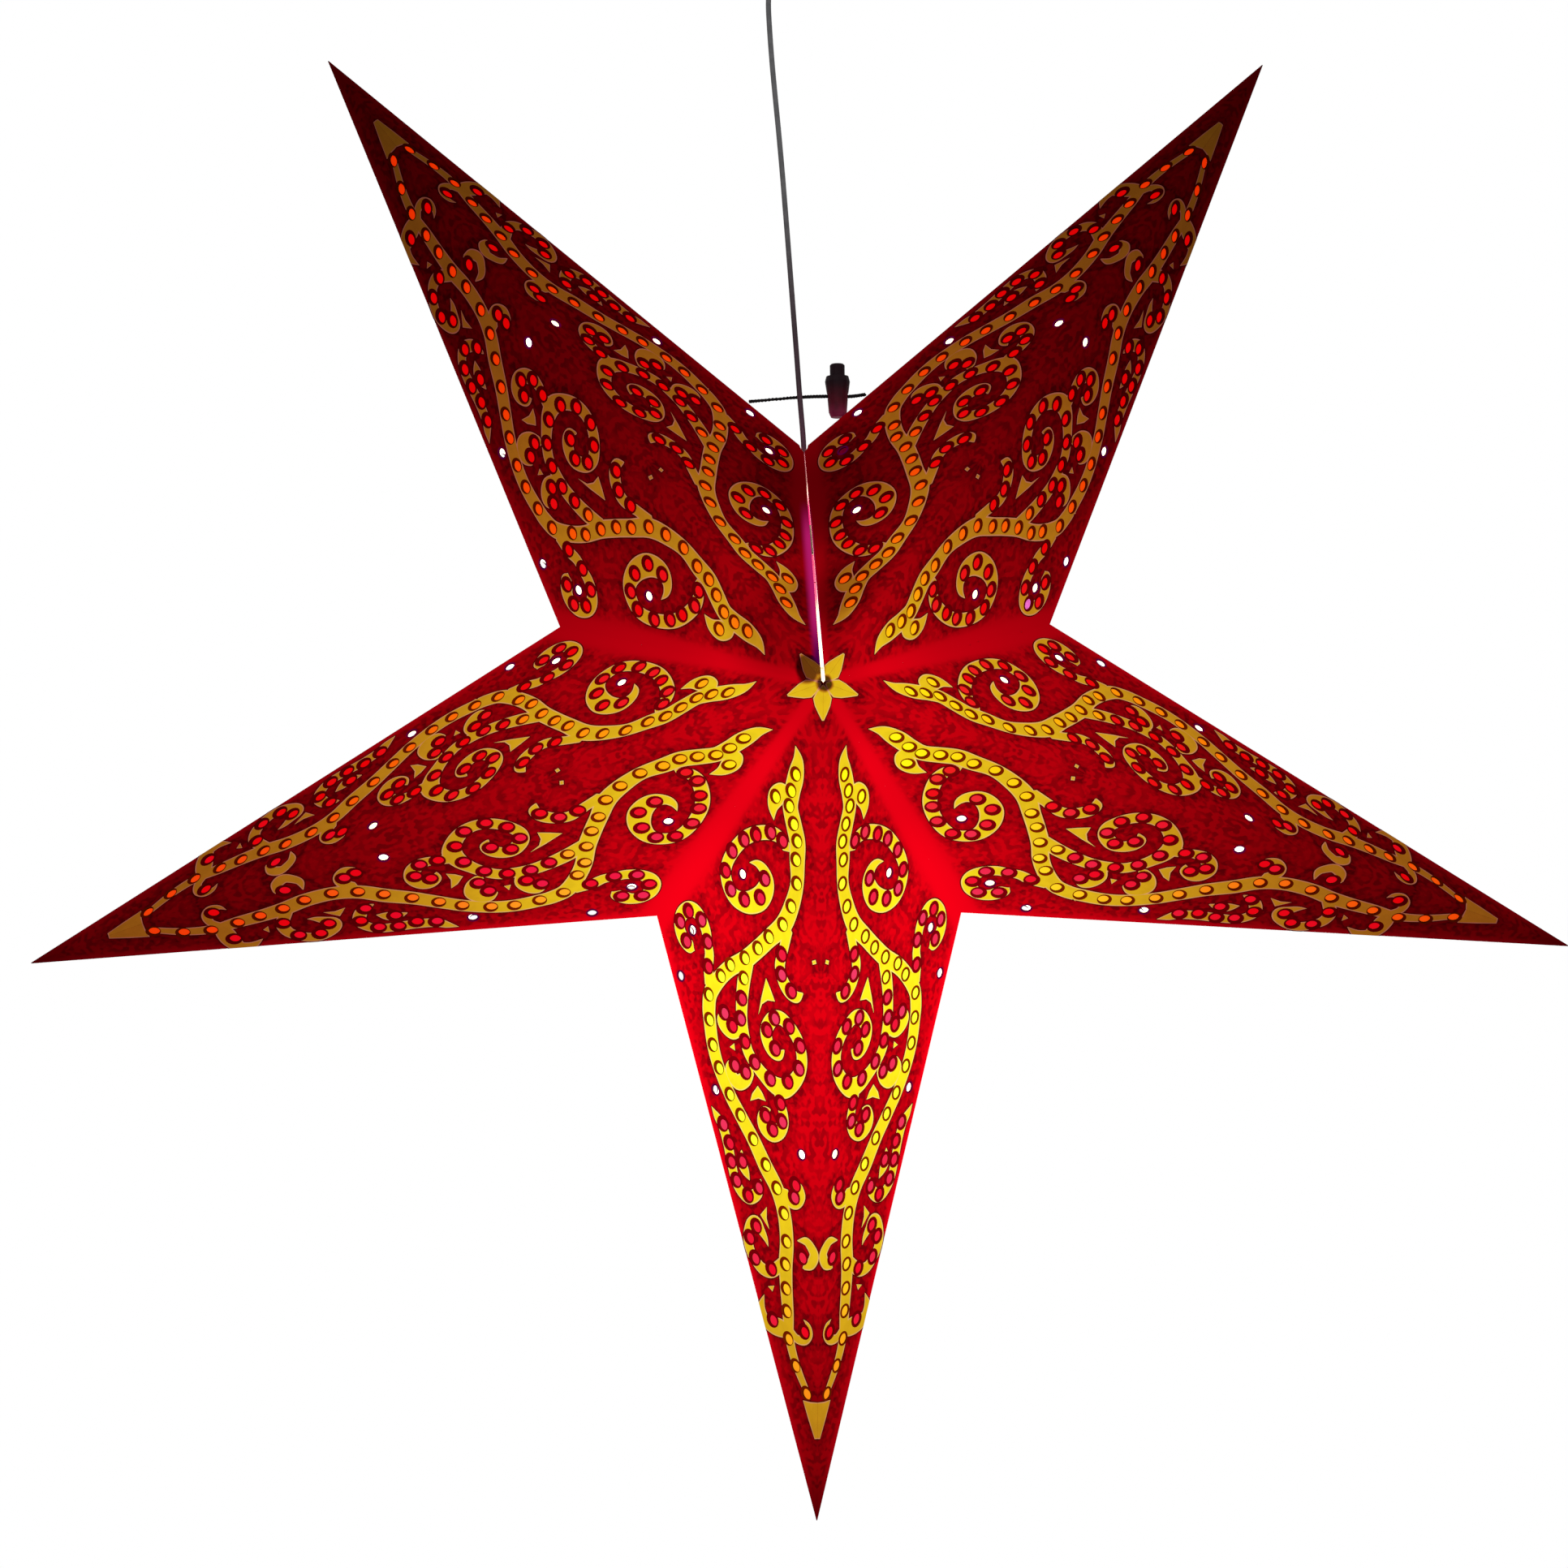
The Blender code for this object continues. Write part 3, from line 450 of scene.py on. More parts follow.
def leaf_outline(places, grow):
    """The outline of a leaf, moved outwards by grow."""
    points = [flat(x, y) for x, y in places]
    way = 1 if sum(a.cross(b) for a, b in pairs(points)) > 0 else -1
    found = []
    for before, (point, after) in zip(points[-1:] + points, pairs(points)):
        one = (point - before).normalized()
        two = (after - point).normalized()
        normal = Vector((one.y + two.y, -one.x - two.x)) * way
        found.append(point + normal.normalized() * grow)
    return found


def scroll_triangles(grow):
    """Every band, leaf and petal, made wider by grow, as triangles that all turn the same way."""
    found = []
    for number in range(len(BANDS)):
        found += band_triangles(number, grow)
    for leaf in (*LEAVES, PETAL):
        outline = [point.to_3d() for point in leaf_outline(leaf, grow)]
        found += [[outline[index].to_2d() for index in corners] for corners in tessellate_polygon([outline])]
    turned = []
    for a, b, c in found:
        area = (b - a).cross(c - a)
        if abs(area) > LEAST_AREA:
            turned.append([a, b, c] if area > 0 else [a, c, b])
    return turned


def circle(centre, radius):
    turns = [2 * math.pi * number / DOT_SIDES for number in range(DOT_SIDES)]
    return [centre + Vector((math.cos(turn), math.sin(turn))) * radius for turn in turns]


def dot_loops():
    """The outlines of all the punched dots; the open ones are a little smaller."""
    loops = [circle(flat(x, y), DOT_RADIUS) for x, y in STEM_DOTS + SCROLL_DOTS]
    return loops + [circle(flat(x, y), OPEN_RADIUS) for x, y in OPEN_DOTS]


def point_tree(points):
    tree = KDTree(len(points))
    for number, point in enumerate(points):
        tree.insert((*point, 0), number)
    tree.balance()
    return tree


def scroll_tree():
    """The edges of the scrollwork as a tree of close points."""
    points = []
    bands = [band_sides(number, 0) for number in range(len(BANDS))]
    shapes = [[*left, last, *right[::-1], first] for left, right, first, last in bands]
    for shape in shapes + [leaf_outline(leaf, 0) for leaf in (*LEAVES, PETAL)]:
        for start, end in pairs(shape):
            count = max(1, round((end - start).length / (GRID_STEP / 2)))
            points += [start.lerp(end, number / count) for number in range(count)]
    return point_tree(points)


def grid_points(outline):
    """Even points inside an outline and clear of the dots."""
    sides = []
    for start, end in pairs(outline):
        run = (end - start).normalized()
        sides.append((start, Vector((-run.y, run.x))))
    tree = point_tree([flat(x, y) for x, y in STEM_DOTS + SCROLL_DOTS + OPEN_DOTS])
    found = []
    rise = GRID_STEP * math.sqrt(3) / 2
    columns = round(FLAT_TIP.x * SHEET_SPARE / GRID_STEP)
    for row in range(-5, round(FLAT_VALLEY.y * SHEET_SPARE / rise)):
        for column in range(-9, columns):
            point = Vector(((column + row % 2 / 2) * GRID_STEP, row * rise))
            if all((point - start).dot(inward) > GRID_STEP / 3 for start, inward in sides):
                if tree.find((*point, 0))[2] > DOT_RADIUS + GRID_STEP / 4:
                    found.append(point)
    return found


def holds(loop, place):
    """Whether a place lies in a convex loop that runs anticlockwise."""
    return all((after - before).cross(place - before) >= 0 for before, after in pairs(loop))


# ---- Sheets and pieces ----
def mesh_of(build, name):
    """The mesh of a build that is done."""
    mesh = bpy.data.meshes.new(name)
    build.to_mesh(mesh)
    build.free()
    return mesh


def placed(name, data):
    """A new object in the scene."""
    item = bpy.data.objects.new(name, data)
    bpy.context.scene.collection.objects.link(item)
    return item


def finish_piece(item, body, slot_name, *nodes):
    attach(item, body)
    if nodes:
        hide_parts(*nodes)


def dress(finishes):
    """Gives the solids, by their names, a material each."""
    for name, material in finishes.items():
        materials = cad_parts[name].data.materials
        materials.clear()
        materials.append(material)


def flat_cells(loops, extra, keep, level):
    """The flat cells between crossing loops; keep gives a cell its material's number, or None."""
    points, faces = [], []
    for loop in loops:
        faces.append(list(range(len(points), len(points) + len(loop))))
        points += loop
    places, _, cells, _, _, owners = delaunay_2d_cdt(points + extra, [], faces, 1, CELL_GAP, True)
    build = bmesh.new()
    if extra:
        build.verts.layers.float.new("reach")
    verts = [build.verts.new((*place, level)) for place in places]
    for cell, owner in zip(cells, owners):
        middle = sum((places[index] for index in cell), Vector((0, 0))) / len(cell)
        number = keep([index for index in owner if holds(loops[index], middle)])
        if number is not None:
            build.faces.new([verts[index] for index in cell]).material_index = number
    bmesh.ops.delete(build, geom=[vert for vert in verts if not vert.link_faces], context="VERTS")
    return build


def thickened(build, thickness, name):
    """A flat sheet made a plate, downwards."""
    made = bmesh.ops.extrude_face_region(build, geom=build.faces[:], use_keep_orig=True)
    lower = [item for item in made["geom"] if isinstance(item, bmesh.types.BMVert)]
    bmesh.ops.translate(build, vec=(0, 0, -thickness), verts=lower)
    bmesh.ops.recalc_face_normals(build, faces=build.faces)
    mesh = mesh_of(build, name)
    mesh.validate()
    return mesh


def punched_card():
    """The flat card with its dots punched out, and on each point how far the scrollwork is."""
    middle = (FLAT_TIP + FLAT_VALLEY) / 3
    outline = [middle + (point - middle) * SHEET_SPARE for point in (Vector((0, 0)), FLAT_TIP, FLAT_VALLEY)]
    build = flat_cells(
        [outline, *dot_loops()], grid_points(outline), lambda owner: 0 if owner == [0] else None, 0
    )
    tree = scroll_tree()
    reach = build.verts.layers.float["reach"]
    for vert in build.verts:
        vert[reach] = min(tree.find(vert.co)[2], REACH_LIMIT)
    mesh = thickened(build, sizes().card, "card")
    for face in mesh.polygons:
        up = face.normal.z
        face.material_index = CUT_EDGE if abs(up) < 0.5 else (WHITE_BACK if up < 0 else PRINTED_FACE)
    return mesh


def print_sheet(shift):
    """The print: outline, pale edge and gold, and the rings of painted shade round the dots, each over the one before,
    with the dots punched out.
    """
    size = sizes()
    groups = [scroll_triangles(grow) for grow in (size.outline, 0, -size.edge)]
    for dots, radius in ((STEM_DOTS, STEM_RING), (SCROLL_DOTS, SCROLL_RING)):
        groups.append([circle(flat(x, y) + Vector(shift), radius) for x, y in dots])
    ends = [sum(len(group) for group in groups[:number + 1]) for number in range(len(groups))]

    def ink(owner):
        if not owner or max(owner) >= ends[-1]:
            return None
        return bisect.bisect_right(ends, max(owner))

    loops = [loop for group in groups for loop in group]
    build = flat_cells(loops + dot_loops(), [], ink, size.layer * 3)
    bmesh.ops.dissolve_limit(
        build, angle_limit=MERGE_ANGLE, verts=build.verts, edges=build.edges, delimit={"MATERIAL"}
    )
    bmesh.ops.triangulate(build, faces=build.faces)
    return thickened(build, size.layer * 4, "scrollwork")


def disc(build, centre, level):
    """A tinted disc of tissue for one dot, of which it gives the points."""
    made = bmesh.ops.create_circle(
        build, cap_ends=True, segments=DOT_SIDES, radius=WINDOW_RADIUS, matrix=Matrix.Translation((*centre, level))
    )
    return made["verts"]


def window_sheet(level):
    """A tinted disc of tissue for each punched dot."""
    build = bmesh.new()
    dye_and_painted_light = build.verts.layers.float_color.new("dye_and_painted_light")
    for x, y in STEM_DOTS:
        for vert in disc(build, flat(x, y), level):
            vert[dye_and_painted_light] = (1, 1, 0.02, 1)
    for number, (x, y) in enumerate(SCROLL_DOTS):
        warm = 0.5 + 0.5 * math.sin(number * 2.3)
        for vert in disc(build, flat(x, y), level):
            vert[dye_and_painted_light] = (0.86, 0.005 + 0.024 * warm, 0.022 + 0.055 * warm, 1)
    return mesh_of(build, "windows")


def place_flat(mesh, panel, kind, materials, inset=0):
    """A copy of a flat mesh at its place on the star, trimmed at its folds."""
    k, side = PANELS[panel]
    build = bmesh.new()
    build.from_mesh(mesh)
    layer = build.loops.layers.uv.new("panel")
    for face in build.faces:
        for loop in face.loops:
            loop[layer].uv = (loop.vert.co.x / TIP_RADIUS, loop.vert.co.y / TIP_RADIUS)
    matrix = panel_matrix(k, side)
    bmesh.ops.transform(build, matrix=matrix, verts=build.verts)
    if matrix.determinant() < 0:
        bmesh.ops.reverse_faces(build, faces=build.faces)
    for point, normal in edge_planes(k, side, inset):
        cut = bmesh.ops.bisect_plane(
            build, geom=build.verts[:] + build.edges[:] + build.faces[:], dist=CELL_GAP, plane_co=point,
            plane_no=normal, clear_outer=True,
        )
        rim = [item for item in cut["geom_cut"] if isinstance(item, bmesh.types.BMEdge) and item.is_boundary]
        if rim:
            bmesh.ops.holes_fill(build, edges=rim, sides=0)
    made = mesh_of(build, f"{panel}_{kind}")
    for material in materials:
        made.materials.append(material)
    return placed(f"{panel}_{kind}", made)


def notch_for_cord(item):
    """Cuts the round notch for the cord out of the valley corner of a panel."""
    build = bmesh.new()
    bmesh.ops.create_cone(
        build, cap_ends=True, segments=DOT_SIDES, radius1=NOTCH_RADIUS, radius2=NOTCH_RADIUS, depth=HALF_DEPTH,
        matrix=Matrix.Translation(STAR + corner(0)),
    )
    punch = placed("notch", mesh_of(build, "notch"))
    removal = item.modifiers.new("notch", "BOOLEAN")
    removal.operation = "DIFFERENCE"
    removal.solver = "EXACT"
    removal.object = punch
    graph = bpy.context.evaluated_depsgraph_get()
    result = bpy.data.meshes.new_from_object(item.evaluated_get(graph))
    item.modifiers.clear()
    bpy.data.objects.remove(punch)
    item.data = result


def tube_piece(name, line, radius, sides, material):
    """A round tube along close points."""
    curve = bpy.data.curves.new(name, "CURVE")
    curve.dimensions = "3D"
    curve.bevel_depth = radius
    curve.bevel_resolution = sides
    curve.use_fill_caps = True
    spline = curve.splines.new("POLY")
    spline.points.add(len(line) - 1)
    for place, point in zip(spline.points, line):
        place.co = (*point, 1)
    item = placed(name, curve)
    graph = bpy.context.evaluated_depsgraph_get()
    tube = bpy.data.meshes.new_from_object(item.evaluated_get(graph))
    build = bmesh.new()
    build.from_mesh(tube)
    bpy.data.objects.remove(item)
    bpy.data.meshes.remove(tube)
    bmesh.ops.remove_doubles(build, verts=build.verts, dist=MERGE_GAP)
    bmesh.ops.recalc_face_normals(build, faces=build.faces)
    return smooth_piece(name, mesh_of(build, name), material)


def smooth_piece(name, mesh, material):
    mesh.materials.append(material)
    mesh.shade_smooth()
    return placed(name, mesh)


def clip_piece():
    """The moulded clip that holds the ends of the hanging loop, just above the view."""
    build = bmesh.new()
    height = CLIP_TOP - CLIP_FOOT
    bmesh.ops.create_cone(
        build, cap_ends=True, segments=32, radius1=CLIP_RADIUS, radius2=CLIP_RADIUS, depth=height,
        matrix=Matrix.Translation((0, 0, (CLIP_TOP + CLIP_FOOT) / 2)),
    )
    ends = [edge for edge in build.edges if abs(edge.verts[0].co.z - edge.verts[1].co.z) < height / 2]
    bmesh.ops.bevel(build, geom=ends, offset=CLIP_ROUND, segments=4, affect="EDGES", profile=0.5, material=-1)
    return smooth_piece("clip", mesh_of(build, "clip"), plain_material("clip_moulding", BLACK, 0.42))


def tie_line():
    """The way of the tie string from arm to arm, behind the cord and through the toggle."""
    along = (corner(1) - corner(0)).normalized()
    off = Vector((-along.z, 0, along.x)) * TIE_STANDOFF
    right = corner(0) + along * TIE_ALONG_RIM + off
    left = corner(0) + along * (TIE_ALONG_RIM - TIE_SAG) + off
    left.x = -left.x
    middle = Vector(TIE_IN_TOGGLE)
    half = Vector((TIE_STRAIGHT, 0, 0))
    route = (left, TIE_BEHIND_CORD, middle - half, middle, middle + half, right)
    return [STAR + Vector(point) for point in smooth([tuple(point) for point in route], 16)]


def ply_line(line, number):
    """One ply of a twisted string along its line."""
    gone = 0
    strand = []
    for index, point in enumerate(line):
        after = line[min(index + 1, len(line) - 1)]
        run = (after - line[max(index - 1, 0)]).normalized()
        side = run.cross(Vector((0, 1, 0))).normalized()
        turn = 2 * math.pi * (gone / TIE_LAY + number / TIE_PLIES)
        out = side * math.cos(turn) + side.cross(run) * math.sin(turn)
        strand.append(point + out * (TIE_RADIUS * PLY_OFFSET))
        gone += (after - point).length
    return strand


# ---- Materials ----
class Nodes:
    """Lays out the nodes of one tree."""

    def __init__(self, tree):
        self.tree = tree

    def link(self, source, target):
        """Feeds a socket with another one or with a plain value."""
        if isinstance(source, bpy.types.NodeSocket):
            self.tree.links.new(source, target)
        else:
            target.default_value = (*source, 1) if target.type == "RGBA" else source

    def feed(self, inputs, **values):
        for name, value in values.items():
            self.link(value, inputs[name.replace("_", " ")])

    def node(self, kind, *values, **settings):
        """A node with its settings, and with its first sockets fed."""
        node = self.tree.nodes.new("ShaderNode" + kind)
        for name, value in settings.items():
            setattr(node, name, value)
        for socket, value in zip(node.inputs, values):
            self.link(value, socket)
        return node

    def math(self, operation, *values):
        return self.node("Math", *values, operation=operation).outputs[0]


class Look(Nodes):
    """One material, on the whole object or on the flat panel."""

    def __init__(self, name, roughness, metallic=0, specular=0, flat_panel=False):
        self.material = bpy.data.materials.new(name)
        self.material.use_nodes = True
        self.material.cycles.emission_sampling = "NONE"
        super().__init__(self.material.node_tree)
        self.surface = self.tree.nodes["Principled BSDF"].inputs
        self.feed(self.surface, Roughness=roughness, Metallic=metallic, Specular_IOR_Level=specular)
        self.in_object = self.node("TexCoord").outputs["Object"]
        self.from_star = self.vector("SUBTRACT", self.in_object, STAR)
        across, self.depth, self.height = self.parts(self.from_star)
        self.across, self.wide = across, self.math("ABSOLUTE", across)
        self.place = self.in_object
        if flat_panel:
            uv = self.node("UVMap", uv_map="panel").outputs[0]
            self.place = self.vector("MULTIPLY", uv, (TIP_RADIUS, TIP_RADIUS, TIP_RADIUS))

    def times(self, *values):
        return functools.reduce(lambda one, two: self.math("MULTIPLY", one, two), values)

    def vector(self, operation, *values):
        outputs = self.node("VectorMath", *values, operation=operation).outputs
        return outputs["Value"] if operation in ("LENGTH", "DOT_PRODUCT", "DISTANCE") else outputs[0]

    def parts(self, vector):
        """The three parts of a vector."""
        return self.node("SeparateXYZ", vector).outputs

    def combined(self, *parts):
        """A colour from its three parts."""
        return self.node("CombineColor", *parts).outputs[0]

    def ramp(self, value, low, high, to_low=0, to_high=1):
        limits = (low, high, to_low, to_high)
        return self.node("MapRange", value, *limits, interpolation_type="SMOOTHSTEP").outputs[0]

    def fade(self, value, low, high):
        """One up to the low value, nothing from the high one."""
        return self.ramp(value, low, high, 1, 0)

    def mix(self, share, one, two, blend="MIX"):
        node = self.node("Mix", share, data_type="RGBA", blend_type=blend)
        self.link(one, node.inputs[6])
        self.link(two, node.inputs[7])
        return node.outputs[2]

    def tinted(self, one, two):
        """A colour multiplied by another or by a share."""
        return self.mix(1, one, two, "MULTIPLY")

    def noise(self, scale, detail=2, rough=0.5):
        node = self.node("TexNoise", self.place)
        self.feed(node.inputs, Scale=scale, Detail=detail, Roughness=rough)
        return node.outputs[0]

    def patches(self, scale, detail, *limits):
        """Soft patches, between the limits of a ramp."""
        return self.ramp(self.noise(scale, detail), *limits)

    def grain(self, scale, depth=0.00003, detail=3, strength=0.4):
        """Fine unevenness of the surface."""
        node = self.node("Bump")
        self.feed(node.inputs, Strength=strength, Distance=depth, Height=self.noise(scale, detail))
        self.link(node.outputs[0], self.surface["Normal"])

    def edge_distance(self, start, end):
        """How far a place on the flat panel is from one edge of it, in metres."""
        run = (end - start).normalized()
        offset = self.vector("SUBTRACT", self.place, start.to_3d())
        return self.math("ABSOLUTE", self.vector("DOT_PRODUCT", offset, (-run.y, run.x, 0)))

    def near(self, place, spot, *limits):
        """A ramp of the distance from a spot."""
        return self.ramp(self.vector("DISTANCE", place, spot), *limits)

    def light(self):
        """How strongly the lamp lights this place, painted as the paper's glow: most below it, least above the holder.
        """
        offset = self.vector("SUBTRACT", self.in_object, GLOW_CENTRE)
        down = self.math("DIVIDE", self.vector("DOT_PRODUCT", offset, (0, 0, -1)), self.vector("LENGTH", offset))
        aim = self.math("POWER", self.math("MULTIPLY_ADD", down, 0.5, 0.5), 1.5)
        aim = self.math("MULTIPLY_ADD", aim, 0.8, 0.2)
        mirrored = self.vector("ABSOLUTE", self.from_star)
        centre = self.near(mirrored, (0, HALF_DEPTH, 0), 0.02, 0.075, 1, 0)
        aim = self.math("MULTIPLY_ADD", centre, 0.2, aim)
        aim = self.math("ADD", aim, self.ramp(down, 0.8, 0.96, 0, 0.2))
        away = self.math("DIVIDE", self.vector("DISTANCE", self.in_object, FALL_CENTRE), FALL_REACH)
        fall = self.math("ADD", 1, self.math("POWER", away, FALL_POWER))
        middle = self.ramp(self.wide, 0.03, 0.19, 1, 0.66)
        spread = self.math("ADD", middle, self.ramp(self.wide, 0.21, 0.28, 0, 0.22))
        strength = self.times(self.math("DIVIDE", self.times(aim, 1.08), fall), spread)
        # Painted shade: each spot of SHADES darkens the painted glow.
        for spot, inner, outer, depth in SHADES:
            dark = self.near(self.in_object, STAR + Vector(spot), inner, outer, 1 - depth, 1)
            strength = self.times(strength, dark)
        return strength

    def lit(self, colour, strength, curve):
        """The light of lit paper: each part of its colour follows the lamp's light by a curve of its own."""
        return self.tinted(colour, self.combined(*(self.math("POWER", strength, power) for power in curve)))

    def finish(self, colour, light=(1, 1, 1), strength=0):
        """The finished material, with its colour by daylight and the light that it gives."""
        self.feed(self.surface, Base_Color=colour, Emission_Color=light, Emission_Strength=strength)
        return self.material

    def finish_lit(self, colour, light):
        return self.finish(self.tinted(colour, (BODY, BODY, BODY)), light, sizes().glow)


def rosy_share(look):
    """Where only light that the red card throws back is seen: behind the upper part of the open seam."""
    return look.times(look.ramp(look.height, 0.032, 0.042), look.fade(look.wide, 0.009, 0.014))


def hole_rim_shade(look, light):
    """Painted shade: the card's glow turns dark violet in a rim round the holes that have no tissue behind them."""
    share = 0
    for x, y in OPEN_DOTS:
        rim = look.near(look.place, (*flat(x, y), 0), OPEN_RADIUS + 0.0002, OPEN_RADIUS + 0.0009, 1, 0)
        share = look.math("MAXIMUM", share, rim)
    return look.mix(share, light, HOLE_RIM_SHADE)


def seam_painted_light(look, light):
    """Painted light and shade on the front of the card by the open seam: its glow turns dark purple low down and
    magenta higher up.
    """
    share = look.times(
        look.ramp(look.across, -0.0042, -0.0012), look.fade(look.across, 0, 0.001),
        look.ramp(look.height, 0, 0.008), look.fade(look.height, 0.056, 0.074), look.fade(look.depth, -0.01, -0.005),
    )
    tone = look.mix(look.ramp(look.height, 0.008, 0.026), (0.02, 0, 0.06), (0.4, 0.01, 0.13))
    return look.mix(share, light, tone)


def card_material():
    """Red printed card: mottled, with dark fringes by the gold and bright bands at the valleys; its glow has painted
    shade at the tips and round the open holes, and painted purple light by the seam.
    """
    look = Look("printed_card", 0.62, flat_panel=True)
    shade = colours()
    spread = look.ramp(look.vector("LENGTH", look.place), 0.02, 0.11, 0.45, 1.15)
    valley = look.math("DIVIDE", look.edge_distance(Vector((0, 0)), FLAT_VALLEY), spread)
    rim = look.edge_distance(FLAT_VALLEY, FLAT_TIP)
    reach = look.node("Attribute", attribute_name="reach").outputs["Fac"]
    lobes = look.math("MULTIPLY_ADD", look.noise(450, 0.8), 0.011, look.math("ADD", reach, -0.0055))
    mottle = look.times(look.patches(370, 0.6, 0.44, 0.57), look.patches(110, 1, 0.36, 0.6, 0.45, 1))
    dark = look.times(look.fade(lobes, 0.0016, 0.0056), look.math("MULTIPLY_ADD", mottle, 0.48, 0.42))
    for other in (look.times(mottle, 0.6), look.ramp(reach, 0.0002, 0.0014, 0.6, 0)):
        dark = look.math("MAXIMUM", dark, other)
    dark = look.times(dark, look.ramp(valley, 0.004, 0.009), look.ramp(rim, 0.001, 0.004))
    ground = look.mix(look.ramp(valley, 0.002, 0.01), shade.bright, shade.red)
    ground = look.mix(look.ramp(rim, 0.001, 0.004), shade.bright, ground)
    ground = look.mix(dark, ground, shade.deep)
    # Painted shade: the glow falls to three tenths towards the tip of each arm.
    strength = look.times(look.light(), look.ramp(look.parts(look.place)[0], 0.287, 0.312, 1, 0.3))
    light = hole_rim_shade(look, look.lit(ground, strength, (1, 0.8, 0.8)))
    look.grain(900, 0.00006, 4, 0.5)
    # Painted purple light by the open seam.
    return look.finish_lit(ground, seam_painted_light(look, light))


def inside_material():
    """The white back of the card, bright round the lamp and rosy where only reflected light reaches."""
    look = Look("card_back", 0.8)
    return look.finish((0.8, 0.78, 0.76), look.mix(rosy_share(look), (1, 0.98, 0.97), ROSY), INSIDE_GLOW)


def print_and_shade_material(name, colour, curve=(1, 1, 1), uneven=0.28):
    """One ink of the print, also used for the painted shade of the rings round the dots and of the cut edge: slightly
    uneven, and lit through the card.
    """
    look = Look(name, 0.5, flat_panel=True)
    tone = look.mix(look.patches(260, 3, 0.35, 0.7, 0, uneven), colour, [part * 0.7 for part in colour])
    return look.finish_lit(tone, look.lit(tone, look.light(), curve))


def window_material():
    """Tinted tissue behind a punched dot; less light leaves more red than yellow. Its tint also shifts by place as
    painted light and shade: less green on the left and high up, more blue low down.
    """
    look = Look("tinted_windows", 0.7)
    dye_and_painted_light = look.node("VertexColor", layer_name="dye_and_painted_light").outputs["Color"]
    # Painted light and shade: the tissue's tint shifts by place.
    left = look.ramp(look.vector("DOT_PRODUCT", look.from_star, (-1, 0, 0.6)), 0, 0.03, 1, 0.6)
    green = look.math("MINIMUM", left, look.ramp(look.height, 0.02, 0.08, 1, 0.6))
    dye_and_painted_light = look.tinted(dye_and_painted_light, look.combined(1, green, look.ramp(look.height, -0.06, -0.03, 1.2, 0.35)))
    return look.finish_lit(dye_and_painted_light, look.lit(dye_and_painted_light, look.math("ADD", look.light(), 0.03), (0.1, 1.9, 1.6)))


def odd_material(tone):
    """A scrap of tissue of another colour."""
    look = Look("odd_tissue", 0.7)
    return look.finish_lit(tone, look.tinted(tone, look.patches(700, 4, 0.3, 0.7, 0.75, 1)))


def tissue_material():
    """Thin fibrous tissue, rosy where only reflected light reaches."""
    look = Look("thin_tissue", 0.85)
    paper = look.mix(look.noise(700, 5, 0.7), (1, 0.8, 0.52), (1, 0.92, 0.78))
    tone = look.mix(rosy_share(look), paper, ROSY)
    return look.finish(look.tinted(tone, (0.8, 0.8, 0.8)), tone, TISSUE_GLOW)


def plain_material(name, colour, roughness, metallic=0, grain=600, depth=0.00003, vary=0.12, specular=0.4):
    """Moulded plastic or metal with a slight unevenness of tone and surface."""
    look = Look(name, roughness, metallic, specular)
    look.grain(grain, depth)
    return look.finish(look.mix(look.patches(grain / 4, 3, 0.3, 0.7), colour, [part * (1 - vary) for part in colour]))


def holder_material():
    """White moulding; the strip behind the open seam only has light that the red card throws back."""
    look = Look("white_moulding", 0.38, specular=0.4)
    front = look.fade(look.depth, -0.008, -0.004)
    rosy = look.times(look.ramp(look.height, 0.03, 0.04), front, look.fade(look.wide, 0.003, 0.006))
    tone = look.mix(rosy, (0.82, 0.81, 0.78), (0.42, 0.05, 0.2))
    look.grain(600)
    return look.finish(look.tinted(tone, look.patches(150, 3, 0.3, 0.7, 0.88, 1)))


def toggle_material():
    """Smoked plastic that the star's own light turns deep red towards its foot."""
    look = Look("smoked_moulding", 0.6, specular=0.08)
    height = look.math("SUBTRACT", look.height, TOGGLE_HEIGHT)
    tone = look.mix(look.fade(height, -0.003, 0.006), (0.002, 0, 0.001), (0.04, 0, 0.004))
    tone = look.mix(look.fade(height, -0.008, -0.002), tone, (0.11, 0.006, 0.024))
    look.grain(500)
    light = look.tinted(tone, look.patches(400, 2, 0.3, 0.7, 0.7, 1))
    return look.finish((0.006, 0.002, 0.003), light, 1)


def cord_material():
    """The skin of the cord: grey in daylight; just above the lit star it has painted shade, with the star's rosy light
    painted on nearest to it.
    """
    look = Look("cord_skin", 0.55, specular=0.25)
    # Painted rosy light nearest the star, then painted shade, then grey higher up.
    tone = look.mix(look.ramp(look.height, 0.095, 0.125), (0.1, 0.032, 0.06), (0.042, 0.018, 0.028))
    tone = look.mix(look.ramp(look.height, 0.13, 0.2), tone, (0.15, 0.15, 0.155))
    look.grain(1500, 0.00005)
    return look.finish(look.tinted(tone, look.patches(260, 3, 0.35, 0.65, 0.75, 1)))


def globe_material():
    """Frosted glass, lit from within."""
    look = Look("frosted_globe", 0.4)
    tone = look.mix(look.noise(300), (1, 0.95, 0.85), (1, 0.98, 0.92))
    return look.finish(tone, tone, GLOBE_GLOW)


